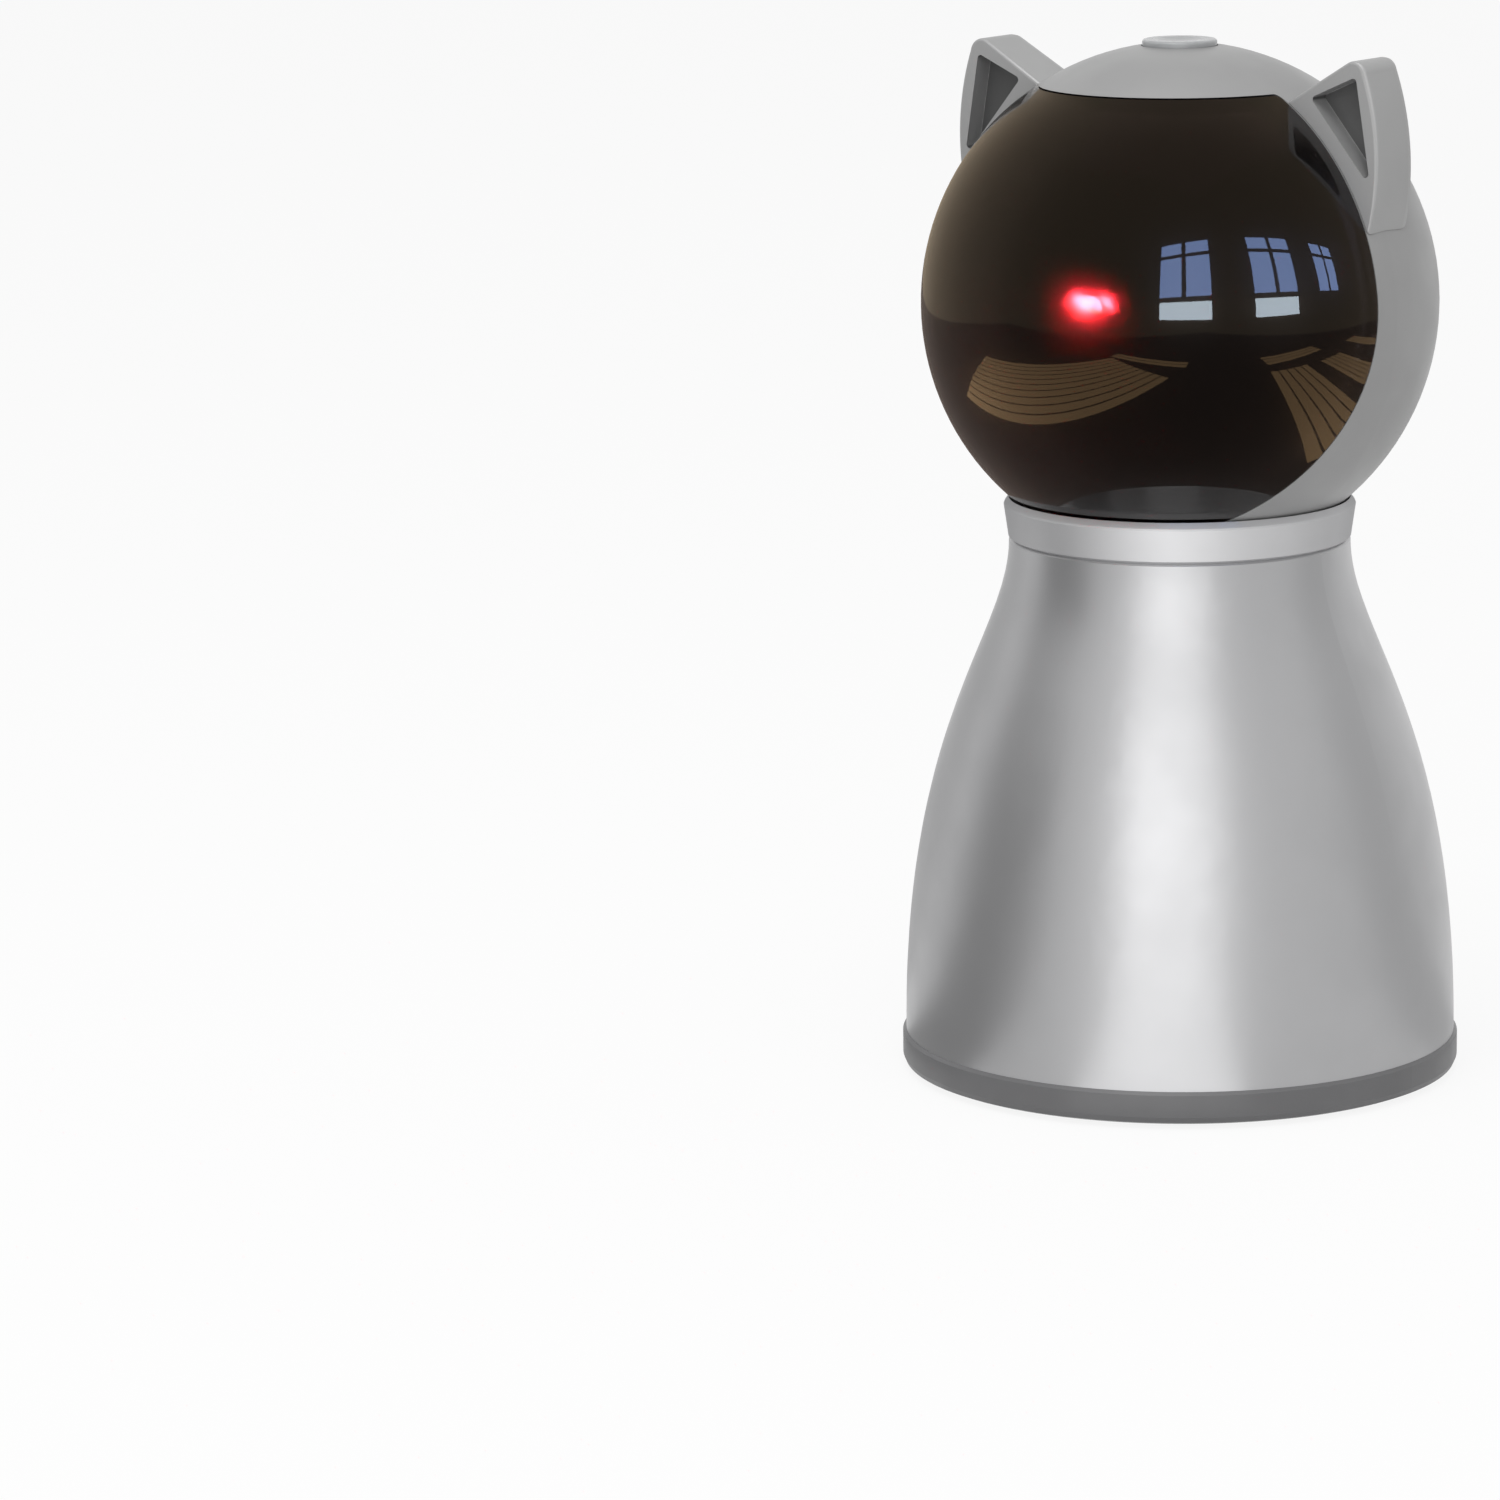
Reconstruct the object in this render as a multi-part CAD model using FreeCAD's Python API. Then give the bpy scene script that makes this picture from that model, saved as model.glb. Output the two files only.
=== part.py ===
import FreeCAD, Part
import math
import os

# Automatic cat laser toy: a bell-shaped stand that carries a round head with two ears.
# A laser behind the smoked visor pans and tilts on two small gear trains.
# Row frame in millimetres: +Z up, the visor faces -Y, the origin is under the middle of the feet.

# Screws: a large self-tapping size for the housings and a small one for the inner pieces
screw_r = 1.45
screw_head_r = 2.8
screw_head_h = 2.0
small_screw_r = 0.95
small_head_r = 1.8
small_head_h = 1.2
thread_gap = 0.03
through_gap = 0.25
head_gap = 0.3
head_taper = 0.7
recess_w = 0.6
recess_depth = 0.8
recess_reach = 0.6
pilot_past = 0.2

# How far a cutting tool reaches past what it cuts
past = 10.0

# Base cover and feet
base_proud = 0.6
rim_h = 5.9
rim_low_edge = 1.4
rim_high_edge = 0.55
floor_t = 2.2
spigot_gap = 0.2
spigot_t = 1.8
spigot_h = 3.8
well_r = 4.5
well_inset = 8.2
well_recess = 3.7
well_rise = 0.3
well_count = 4
base_screw_len = 14.0
foot_r = 5.0
foot_t = 1.6
foot_proud = 0.8
foot_gap = 0.1
foot_inset = 10.5
foot_edge = 0.4

# Body bell
body_bottom_r = 49.4
body_top_r = 30.4
body_h = 89.7
body_wall = 2.2
bell_low_pull = 57.6
bell_high_pull = 18.2
body_seam_edge = 0.4
hollow_steps = 7
shelf_t = 2.4
boss_r = 3.6
boss_rib_t = 1.5
boss_top_below = 32.0
cable_hole_r = 9.0
rib_inset = 2.4
rib_t = 1.4
rib_h = 1.5
rib_gap = 0.2

# Charging port in the back of the body
port_w = 9.0
port_h = 3.2
port_len = 7.3
port_gap = 0.35
port_inset = 1.6
port_on_board = 1.0
port_wall = 0.35
port_back_t = 1.2
port_tongue_t = 0.7
port_tongue_inset = 1.2

# Neck collar
collar_floor_t = 3.2
collar_h = 7.3
collar_flare = 0.9
lip_slope = 1.0
lip_edge_drop = 0.35
lip_edge_in = 0.15
collar_foot_out = 0.1
collar_seat_rise = 0.3
seat_gap = 0.35
neck_pitch_r = 18.0
neck_screw_count = 4
neck_screw_len = 12.0
neck_boss_r = 3.4
neck_boss_h = 5.8

# Head globe, its window and the visor
head_r = 45.8
head_wall = 2.0
lip_bore_out = 0.026
head_floor_t = 2.6
window_front = 5.2
window_top_in = 7.3
window_corner_r = 1.0
window_bend_above = 5.0
window_bend_out = 19.2
window_low_past = 4.0
visor_gap = 0.25
ledge_t = 1.4
ledge_gap = 0.2
ledge_reach = 3.5
ledge_root = 2.5

# Ears, in angles round the globe from the level and heights over its surface
ear_in_angle = 54.7
ear_out_angle = 19.5
ear_tip_angle = 48.1
ear_tip_rise = 16.6
ear_bulge_angle = 32.0
ear_bulge_rise = 7.1
ear_tip_r = 2.6
ear_front_gap = 0.1
ear_root_t = 12.3
ear_tip_t = 10.9
ear_sink = 5.0
ear_surface_gap = 0.1
ear_front_edge_r = 0.7
ear_back_edge_r = 1.9
ear_edge_steps = 3
ear_tip_pull = 1.6
ear_shoulder = 0.2
pocket_depth = 4.0
pocket_corner_r = 0.7
pocket_in_angle = 50.9
pocket_in_rise = 3.4
pocket_tip_angle = 46.3
pocket_tip_rise = 12.6
pocket_out_angle = 28.2
pocket_out_rise = 3.5
ear_peg_angles = (30.0, 44.0)
ear_peg_r = 2.2
ear_peg_gap = 0.1
ear_peg_back = 2.5
ear_peg_root = 2.0
ear_screw_len = 5.0

# Push button on the crown and its circuit board
button_r = 6.6
button_gap = 0.2
button_proud = 0.6
button_travel = 0.8
button_dish_r = 4.15
button_dish = 0.4
button_edge_r = 0.5
sleeve_t = 1.5
sleeve_below = 3.7
flange_extra_r = 1.5
flange_t = 1.2
flange_gap = 0.1
plunger_r = 1.75
plunger_h = 1.6
plunger_gap = 0.05
plunger_sink = 0.2
stem_r = 2.6
stem_h = 1.0
switch_w = 6.0
switch_h = 3.4
crown_board_t = 1.6
crown_board_r = 8.0
crown_boss_x = 11.8
crown_boss_r = 2.6
crown_ear_r = 3.6
crown_screw_len = 5.0
led_r = 1.5
led_h = 3.6
led_out = 5.2
led_dome_share = 0.9

# Cell, its saddles and its clamp
cell_r = 9.2
cell_len = 65.0
cell_nub_r = 3.2
cell_nub_h = 1.2
cell_edge = 0.6
cell_back = -12.0
cell_lift = 1.0
cell_gap = 0.15
saddle_x = 20.0
saddle_t = 2.5
saddle_rise = 5.5
end_stop_t = 1.6
end_stop_gap = 0.4
end_stop_share = 0.7
end_stop_over = 3.0
clamp_w = 12.0
clamp_t = 1.5
clamp_foot_t = 1.8
clamp_foot_drop = 3.2
clamp_foot_len = 5.6
clamp_post_r = 2.8
clamp_screw_len = 6.0

# Main circuit board
board_t = 1.6
board_w = 40.0
board_gap = 1.55
board_inset = 4.2
board_up = 8.0
board_post_r = 2.8
board_screw_len = 6.0
board_post_spots = ((16.0, 4.0), (15.0, 27.0))

# Parts on the main board, by their left, right, front and back edges from the middle of its front edge
chip_edges = (-4.0, 4.0, 10.0, 18.0)
chip_h = 1.2
charger_edges = (6.5, 11.0, 18.0, 23.0)
charger_h = 1.4
plug_edges = ((-12.5, -6.5, 1.2, 6.0), (5.5, 12.5, 1.2, 6.0), (-12.5, -8.0, 16.0, 23.0))
plug_h = 5.0
plug_wall = 0.8
plug_floor_t = 1.5
coil_place = (9.0, 11.5)
coil_r = 2.6
coil_h = 3.0

# Mechanism deck and its posts
deck_below_centre = 20.9
deck_t = 2.5
deck_disc_r = 20.0
deck_ear_r = 4.4
post_r = 3.2
post_x = 22.5
post_y = 13.0
post_sink = 0.5
deck_screw_len = 8.0
deck_rim = 1.6
shaft_hole_gap = 0.8
bush_bore_gap = 0.05
bush_wall = 1.5
bush_flange_r = 8.0
bush_flange_t = 1.2
bush_below = 0.8
thrust_gap = 0.1

# Pan gear train
pan_module = 0.8
pan_teeth = 45
pan_pinion_teeth = 15
pan_face = 3.8
pan_pinion_face = 4.4
pan_gear_gap = 0.2
pan_hub_r = 7.0
pan_hub_t = 1.0
pan_web_t = 2.0
pan_rim_t = 2.0
pan_hole_r = 2.2
pan_hole_count = 6
turret_shaft_r = 4.0
turret_flat = 3.0
turret_screw_len = 8.0

# Gear tooth form
pressure_deg = 25.0
backlash = 0.14
tip_height = 1.0
root_depth = 1.25

# Geared motors
motor_w = 12.0
motor_d = 10.0
gearbox_len = 9.0
can_len = 12.0
cap_len = 3.0
plate_t = 0.8
gearbox_inset = 0.5
cap_inset = 0.4
terminal_w = 1.6
terminal_h = 1.2
terminal_t = 0.4
terminal_apart = 6.0
motor_shaft_r = 1.5
motor_shaft_flat = 1.0
motor_shaft_in = 7.0
shaft_gap = 0.06
bore_gap = 0.02

# Pan motor clamp
sleeve_wall = 1.6
sleeve_edge_r = 1.3
sleeve_fit = 0.1
sleeve_h = 8.0
clamp_ear_out = 3.1
clamp_ear_r = 2.9
clamp_ear_t = 2.0
motor_screw_len = 4.0

# Yoke that pans
yoke_disc_r = 16.0
yoke_disc_t = 3.0
arm_in = 8.5
arm_t = 2.5
arm_top_r = 4.4
arm_foot_r = 4.8
arm_foot_y = -10.2
arm_foot_up = 5.0
cradle_rib_t = 2.5
cradle_cheek_t = 1.1
cradle_cheek_h = 4.0
cradle_rib_x = (-9.6, 4.0)
motor_face_back = 0.5
strap_post_r = 2.3
strap_post_gap = 0.2
strap_x = -8.4
strap_w = 4.6
strap_t = 1.2
strap_hook = 1.6
strap_foot_drop = 4.0
strap_screw_len = 6.0

# Laser tilt axis, measured from the middle of the globe
pivot_forward = 12.0
pivot_up = 9.3
pin_r = 1.5
pin_gap = 0.05
pin_end = 0.4
pin_barrel_gap = 0.3
beam_down_deg = 26.0
tilt_up_deg = 14.0
tilt_down_deg = 29.0

# Tilt gear train
tilt_module = 0.6
tilt_teeth = 40
tilt_pinion_teeth = 14
tilt_mesh_deg = -36.6
tilt_face = 3.0
tilt_pinion_face = 4.0
tilt_gear_x = 12.2
tilt_hub_r = 4.2
tilt_hub_t = 1.0
tilt_margin_deg = 16.0
tilt_window_r = 1.7
tilt_window_shares = (0.22, 0.5, 0.78)

# Laser barrel and what it holds
barrel_r = 5.0
barrel_wall = 1.8
barrel_back = 7.0
barrel_front = 12.0
barrel_floor = 1.5
barrel_lead_r = 1.35
barrel_edge = 0.5
cradle_back = 4.0
cradle_front = 8.0
cradle_wall = 1.6
cradle_gap = 0.3
cradle_side_r = 4.0
clamp_slot = 1.0
lug_w = 5.0
lug_h = 4.8
lug_root = 1.0
lug_len = 6.0
lug_seat_gap = 0.1
nut_r = 4.3
nut_len = 4.0
nut_stub_gap = 0.04
nut_stub_len = 3.0
nut_flutes = 12
nut_flute_r = 0.45
nut_edge = 0.3
nut_lip_t = 1.2
aperture_r = 2.0
lens_r = 2.55
lens_t = 1.2
lens_bulge = 0.6
lens_gap = 0.03
diode_r = 2.8
diode_flange_t = 1.2
diode_can_r = 2.35
diode_can_len = 2.3
pcb_r = 4.2
pcb_t = 1.0
driver_edges = (-2.0, 0.2, -1.4, 1.4)
driver_h = 0.8
resistor_edges = (1.2, 2.4, -1.0, 1.0)
resistor_h = 0.7

V = FreeCAD.Vector
UP = V(0, 0, 1)
DOWN = V(0, 0, -1)

# Sizes and levels worked out from those above
base_r = body_bottom_r + base_proud
z_rim = foot_proud
z_floor = z_rim + floor_t
z_body = z_rim + rim_h
z_well = z_body + well_rise
z_neck = z_body + body_h
z_shelf = z_neck - shelf_t
z_head = z_neck + collar_floor_t
z_lip = z_neck + collar_h
lip_in_r = body_top_r + lip_bore_out
z_centre = z_lip + math.sqrt((head_r + seat_gap) ** 2 - lip_in_r ** 2)
head_in_r = head_r - head_wall
window_top = head_r - window_top_in
window_bend_r = head_r + window_bend_out
body_in_r = body_bottom_r - body_wall
spigot_r = body_in_r - spigot_gap
well_pitch_r = body_in_r - well_inset
foot_pitch_r = base_r - foot_inset
rib_out_r = body_top_r - rib_inset
rib_in_r = rib_out_r - rib_t
z_cell = z_floor + cell_lift + cell_r
z_board = z_floor + board_up
board_front = cell_back + cell_r + cell_gap + clamp_t + clamp_foot_len + board_gap
board_back = body_bottom_r - port_inset - port_len + port_on_board
board_edge_r = body_in_r - board_inset
z_crown = z_centre + head_r
z_deck = z_centre - deck_below_centre
z_deck_top = z_deck + deck_t
z_bush_top = z_deck_top + bush_flange_t
z_yoke = z_bush_top + thrust_gap
z_yoke_top = z_yoke + yoke_disc_t
z_gear_top = z_deck - bush_below - pan_gear_gap
z_gear = z_gear_top - pan_face
pan_gear_r = pan_module * pan_teeth / 2
pan_pinion_r = pan_module * pan_pinion_teeth / 2
pan_apart = pan_gear_r + pan_pinion_r
tilt_gear_r = tilt_module * tilt_teeth / 2
tilt_pinion_r = tilt_module * tilt_pinion_teeth / 2
tilt_apart = tilt_gear_r + tilt_pinion_r
pivot_y = -pivot_forward
z_pivot = z_centre + pivot_up
tilt_motor_y = pivot_y + tilt_apart * math.cos(math.radians(tilt_mesh_deg))
z_tilt_motor = z_pivot + tilt_apart * math.sin(math.radians(tilt_mesh_deg))
z_strap_foot = z_tilt_motor - strap_foot_drop
arm_out = arm_in + arm_t
clamp_ear_x = motor_w / 2 + sleeve_fit + sleeve_wall + clamp_ear_out
cradle_r = barrel_r + cradle_wall
cradle_side = arm_in - cradle_gap
barrel_bore_r = barrel_r - barrel_wall
z_sleeve = z_crown - sleeve_below - head_wall
z_flange_top = z_sleeve - flange_gap
z_flange = z_flange_top - flange_t
z_plunger = z_flange - stem_h
z_switch = z_plunger - plunger_h
z_crown_board_top = z_switch - switch_h
z_crown_board = z_crown_board_top - crown_board_t
flange_r = button_r + flange_extra_r

# Basic solids


def disc(r, z0, z1, x=0.0, y=0.0):
    """Upright cylinder between two levels."""
    return Part.makeCylinder(r, z1 - z0, V(x, y, z0))


def ring(r_in, r_out, z0, z1, x=0.0, y=0.0):
    """Upright tube between two levels."""
    return disc(r_out, z0, z1, x, y).cut(disc(r_in, z0, z1, x, y))


def block(x0, x1, y0, y1, z0, z1):
    """Box between two corners."""
    return Part.makeBox(x1 - x0, y1 - y0, z1 - z0, V(x0, y0, z0))


def rod(r, start, way, length):
    """Cylinder from a point along a direction."""
    return Part.makeCylinder(r, length, start, way)


def ball(r):
    """Sphere about the middle of the globe."""
    return Part.makeSphere(r, V(0, 0, z_centre))


def join(shapes):
    """One solid from shapes that touch or overlap."""
    whole = shapes[0].fuse(shapes[1:])
    return whole.removeSplitter()


def spun(edges):
    """Solid of revolution about Z of a closed outline in the XZ plane."""
    face = Part.Face(Part.Wire(edges))
    solid = face.revolve(V(0, 0, 0), UP, 360)
    return Part.Solid(solid.Shells[0]) if solid.ShapeType != "Solid" else solid


def lines(points):
    """Straight edges through (radius, level) points, left open at the end."""
    spots = [V(r, 0, z) for r, z in points]
    return [Part.makeLine(a, b) for a, b in zip(spots, spots[1:])]


def polar(angle_deg, r):
    """Point at an angle round the globe in its XZ plane."""
    a = math.radians(angle_deg)
    return V(r * math.cos(a), 0, z_centre + r * math.sin(a))


def around(count, pitch_r, first_deg):
    """Places spaced evenly on a circle about Z."""
    steps = [math.radians(first_deg + 360.0 * i / count) for i in range(count)]
    return [(pitch_r * math.cos(a), pitch_r * math.sin(a)) for a in steps]


def group(solids):
    """Separate solids kept in one node."""
    return Part.makeCompound(solids)


def tangent_plate(p, p_r, q, q_r, z0, z1):
    """Plate whose outline wraps two circles, like a link or a lever."""
    dx, dy = q[0] - p[0], q[1] - p[1]
    apart = math.hypot(dx, dy)
    lean = math.atan2(dy, dx)
    open_angle = math.acos((p_r - q_r) / apart)
    corners = []
    for side in (1, -1):
        a = lean + side * open_angle
        corners.append(V(p[0] + p_r * math.cos(a), p[1] + p_r * math.sin(a), z0))
        corners.append(V(q[0] + q_r * math.cos(a), q[1] + q_r * math.sin(a), z0))
    back = V(p[0] - p_r * math.cos(lean), p[1] - p_r * math.sin(lean), z0)
    front = V(q[0] + q_r * math.cos(lean), q[1] + q_r * math.sin(lean), z0)
    edges = [
        Part.makeLine(corners[0], corners[1]),
        Part.Arc(corners[1], front, corners[3]).toShape(),
        Part.makeLine(corners[3], corners[2]),
        Part.Arc(corners[2], back, corners[0]).toShape(),
    ]
    return Part.Face(Part.Wire(edges)).extrude(V(0, 0, z1 - z0))


def placed(shape, spot, turn):
    """Copy of a shape, turned and then moved from where it stands."""
    moved = shape.copy()
    moved.Placement = FreeCAD.Placement(spot, turn).multiply(shape.Placement)
    return moved


def to_side(shape):
    """Turns a shape built on Z so that its X, Y and Z lie along Y, Z and X."""
    return placed(shape, V(0, 0, 0), FreeCAD.Rotation(V(1, 1, 1), 120))


# Screws and their holes


def screw(seat, way, length, small=False, cross=False):
    """Screw with a tapered head on the seat point and its shank running the given way."""
    r = small_screw_r if small else screw_r
    cap_r = small_head_r if small else screw_head_r
    cap_h = small_head_h if small else screw_head_h
    cap = Part.makeCone(cap_r * head_taper, cap_r, cap_h, V(0, 0, -cap_h))
    solid = join([disc(r, 0, length), cap])
    if cross:
        half = cap_r * recess_reach
        depth = recess_depth - cap_h
        solid = solid.cut(block(-half, half, -recess_w / 2, recess_w / 2, -cap_h, depth))
        solid = solid.cut(block(-recess_w / 2, recess_w / 2, -half, half, -cap_h, depth))
    return placed(solid, V(*seat), FreeCAD.Rotation(UP, way))


def pilot(seat, way, length, small=False):
    """Blind hole that a screw cuts its thread in."""
    r = small_screw_r if small else screw_r
    return rod(r + thread_gap, V(*seat), way, length)


def through(seat, way, length, small=False):
    """Clearance hole for a screw."""
    r = small_screw_r if small else screw_r
    return rod(r + through_gap, V(*seat), way, length)


# Places that more than one piece shares
well_places = around(well_count, well_pitch_r, 45.0)
foot_places = around(well_count, foot_pitch_r, 0.0)
neck_places = around(neck_screw_count, neck_pitch_r, 45.0)
post_places = [(sx * post_x, sy * post_y) for sx in (1, -1) for sy in (1, -1)]
board_post_places = [(s * x, board_front + y) for x, y in board_post_spots for s in (-1, 1)]
clamp_post_places = [(0.0, cell_back + s * (cell_r + cell_gap + clamp_t + clamp_post_r)) for s in (1, -1)]
z_clamp_foot = z_cell - clamp_foot_drop
z_screw_well = z_rim + well_recess


# Base


def cell_space(extra):
    """Cylinder along X that the cell fills, grown by a gap."""
    start = V(-cell_len / 2 - extra, cell_back, z_cell)
    return rod(cell_r + extra, start, V(1, 0, 0), cell_len + 2 * extra)


def base_cover():
    """Moulded tray with rim, spigot, screw wells, foot pockets, saddles and board posts."""
    eased = rim_low_edge * (1 - math.sqrt(0.5))
    outline = [
        (0, z_rim), (base_r - rim_low_edge, z_rim), (base_r - eased, z_rim + eased),
        (base_r, z_rim + rim_low_edge), (base_r, z_body - rim_high_edge), (base_r - rim_high_edge, z_body),
        (spigot_r, z_body), (spigot_r, z_body + spigot_h), (spigot_r - spigot_t, z_body + spigot_h),
        (spigot_r - spigot_t, z_floor), (0, z_floor), (0, z_rim),
    ]
    added = [spun(lines(outline))]
    added += [disc(well_r, z_floor, z_well, x, y) for x, y in well_places]
    added += [disc(clamp_post_r, z_floor, z_clamp_foot, x, y) for x, y in clamp_post_places]
    added += [disc(board_post_r, z_floor, z_board, x, y) for x, y in board_post_places]
    half = cell_r + cell_gap + saddle_t
    for x in (-saddle_x, saddle_x):
        added.append(block(x - saddle_t / 2, x + saddle_t / 2, cell_back - half,
                           cell_back + half, z_floor, z_floor + cell_lift + saddle_rise))
    stop = cell_len / 2 + cell_nub_h + end_stop_gap
    for side in (-1, 1):
        x0, x1 = sorted((side * stop, side * (stop + end_stop_t)))
        half = cell_r * end_stop_share
        added.append(block(x0, x1, cell_back - half, cell_back + half, z_floor, z_cell + end_stop_over))
    tray = join(added).cut(cell_space(cell_gap))
    for x, y in well_places:
        tray = tray.cut(disc(screw_head_r + head_gap, z_rim, z_screw_well, x, y))
        tray = tray.cut(through((x, y, z_rim), UP, z_well))
    for x, y in foot_places:
        tray = tray.cut(disc(foot_r + foot_gap, z_rim, foot_t, x, y))
    for x, y in clamp_post_places:
        tray = tray.cut(pilot((x, y, z_floor), UP, z_clamp_foot, True))
    for x, y in board_post_places:
        tray = tray.cut(pilot((x, y, z_floor), UP, z_board, True))
    return tray


def on_circle(edge, r, z):
    """True for a full circle of that radius at that level."""
    curve = edge.Curve
    if not isinstance(curve, Part.Circle):
        return False
    return abs(curve.Radius - r) < 1e-4 and abs(curve.Center.z - z) < 1e-4


def rubber_feet():
    """Four round pads pressed into the pockets of the base."""
    pads = []
    for x, y in foot_places:
        pad = disc(foot_r, 0, foot_t, x, y)
        pads.append(pad.makeChamfer(foot_edge, [e for e in pad.Edges if on_circle(e, foot_r, 0)]))
    return group(pads)


def base_screws():
    """Long screws from under the base into the bosses of the body."""
    return group([screw((x, y, z_screw_well), UP, base_screw_len, cross=True) for x, y in well_places])


# Body


def bell_curve():
    """Bell curve from the bottom of the body up to the edge at the neck."""
    curve = Part.BezierCurve()
    curve.setPoles([
        V(body_bottom_r, 0, z_body),
        V(body_bottom_r, 0, z_body + bell_low_pull),
        V(body_top_r, 0, z_neck - bell_high_pull),
        V(body_top_r, 0, z_neck - body_seam_edge),
    ])
    return curve


def bell_solid():
    """Solid bell with a small slanted edge at the neck."""
    cap = lines([(body_top_r, z_neck - body_seam_edge), (body_top_r - body_seam_edge, z_neck),
                 (0, z_neck), (0, z_body), (body_bottom_r, z_body)])
    return spun([bell_curve().toShape()] + cap)


def bell_core(inset):
    """Solid inside the bell, with an upright land for the base and straight slopes over it."""
    curve = bell_curve()
    spots = [curve.value(i / hollow_steps) for i in range(1, hollow_steps + 1)]
    low_r = body_bottom_r - inset
    land = [(low_r, z_body), (low_r, z_body + spigot_h + spigot_gap)]
    slopes = land + [(spot.x - inset, spot.z) for spot in spots]
    return spun(lines([(0, z_body)] + slopes + [(0, slopes[-1][1]), (0, z_body)]))


def stadium(width, height, y0, y1, z_mid):
    """Bar along Y with a round-ended section."""
    r = height / 2
    half = width / 2 - r
    ends = [rod(r, V(x, y0, z_mid), V(0, 1, 0), y1 - y0) for x in (-half, half)]
    return join([block(-half, half, y0, y1, z_mid - r, z_mid + r)] + ends)


def body_shell():
    """Bell-shaped housing with a shelf at its neck and long screw towers."""
    hollow = bell_core(body_wall).cut(disc(body_bottom_r, z_shelf, z_neck))
    shell = bell_solid().cut(hollow).cut(disc(cable_hole_r, z_shelf, z_neck))
    tower_top = z_neck - boss_top_below
    limit = bell_core(body_wall / 2)
    towers = []
    for x, y in well_places:
        tower = disc(boss_r, z_well, tower_top, x, y)
        lean = math.degrees(math.atan2(y, x))
        rib = block(well_pitch_r, body_bottom_r, -boss_rib_t / 2, boss_rib_t / 2,
                    z_body + spigot_h + 2 * rib_gap, tower_top)
        rib.rotate(V(0, 0, 0), UP, lean)
        towers.append(tower.fuse(rib).common(limit))
    shell = join([shell, ring(rib_in_r, rib_out_r, z_neck - shelf_t / 2, z_neck + rib_h)] + towers)
    for x, y in well_places:
        shell = shell.cut(pilot((x, y, z_well), UP, base_screw_len))
    for x, y in neck_places:
        shell = shell.cut(through((x, y, z_shelf), UP, shelf_t))
    z_port = z_board + board_t + port_h / 2
    mouth = stadium(port_w + 2 * port_gap, port_h + 2 * port_gap, body_in_r - past, base_r, z_port)
    return shell.cut(mouth)


# Cell and circuit board in the base


def battery_cell():
    """Round rechargeable cell that lies across the base."""
    can = rod(cell_r, V(-cell_len / 2, cell_back, z_cell), V(1, 0, 0), cell_len)
    can = can.makeChamfer(cell_edge, [e for e in can.Edges if isinstance(e.Curve, Part.Circle)])
    nub = rod(cell_nub_r, V(cell_len / 2, cell_back, z_cell), V(1, 0, 0), cell_nub_h)
    return join([can, nub])


def cell_clamp():
    """Arched strap over the cell with a foot on each side."""
    inner = cell_r + cell_gap
    outer = inner + clamp_t
    x0 = -clamp_w / 2
    arch = rod(outer, V(x0, cell_back, z_cell), V(1, 0, 0), clamp_w)
    reach = outer + clamp_foot_len
    arch = arch.common(block(x0, -x0, cell_back - outer, cell_back + outer, z_cell, z_cell + outer))
    legs = block(x0, -x0, cell_back - outer, cell_back + outer, z_clamp_foot, z_cell)
    feet = block(x0, -x0, cell_back - reach, cell_back + reach, z_clamp_foot, z_clamp_foot + clamp_foot_t)
    strap = join([arch, legs, feet])
    strap = strap.cut(rod(inner, V(x0, cell_back, z_cell), V(1, 0, 0), clamp_w))
    strap = strap.cut(block(x0, -x0, cell_back - inner, cell_back + inner, z_clamp_foot, z_cell))
    for x, y in clamp_post_places:
        strap = strap.cut(through((x, y, z_clamp_foot), UP, clamp_foot_t, True))
    return strap


def clamp_screws():
    """Screws of the cell clamp."""
    seat = z_clamp_foot + clamp_foot_t
    return group([screw((x, y, seat), DOWN, clamp_screw_len, True) for x, y in clamp_post_places])


def main_board():
    """D-shaped circuit board on four posts behind the cell."""
    half = board_w / 2
    z1 = z_board + board_t
    board = block(-half, half, board_front, board_back, z_board, z1).common(disc(board_edge_r, z_board, z1))
    for x, y in board_post_places:
        board = board.cut(through((x, y, z_board), UP, board_t, True))
    return board


def board_screws():
    """Screws of the main board."""
    seat = z_board + board_t
    return group([screw((x, y, seat), DOWN, board_screw_len, True) for x, y in board_post_places])


def board_parts():
    """Controller chip, charger chip, coil and two plugs on the main board."""
    z = z_board + board_t
    chip = block(*chip_edges, z, z + chip_h)
    charger = block(*charger_edges, z, z + charger_h)
    coil = disc(coil_r, z, z + coil_h, *coil_place)
    plugs = []
    wall = plug_wall
    for x0, x1, y0, y1 in plug_edges:
        well = block(x0 + wall, x1 - wall, y0 + wall, y1 - wall, z + plug_floor_t, z + plug_h)
        plugs.append(block(x0, x1, y0, y1, z, z + plug_h).cut(well))
    parts = group([chip, charger, coil] + plugs)
    parts.translate(V(0, board_front, 0))
    return parts


def charge_socket():
    """Metal charging socket with its tongue, set in the back wall."""
    z_mid = z_board + board_t + port_h / 2
    y1 = body_bottom_r - port_inset
    y0 = y1 - port_len
    shell = stadium(port_w, port_h, y0, y1, z_mid)
    hollow = stadium(port_w - 2 * port_wall, port_h - 2 * port_wall, y0 + port_back_t, y1, z_mid)
    half_t = port_tongue_t / 2
    tongue = block(-port_w / 3, port_w / 3, y0, y1 - port_tongue_inset, z_mid - half_t, z_mid + half_t)
    return join([shell.cut(hollow), tongue])


# Neck


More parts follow.
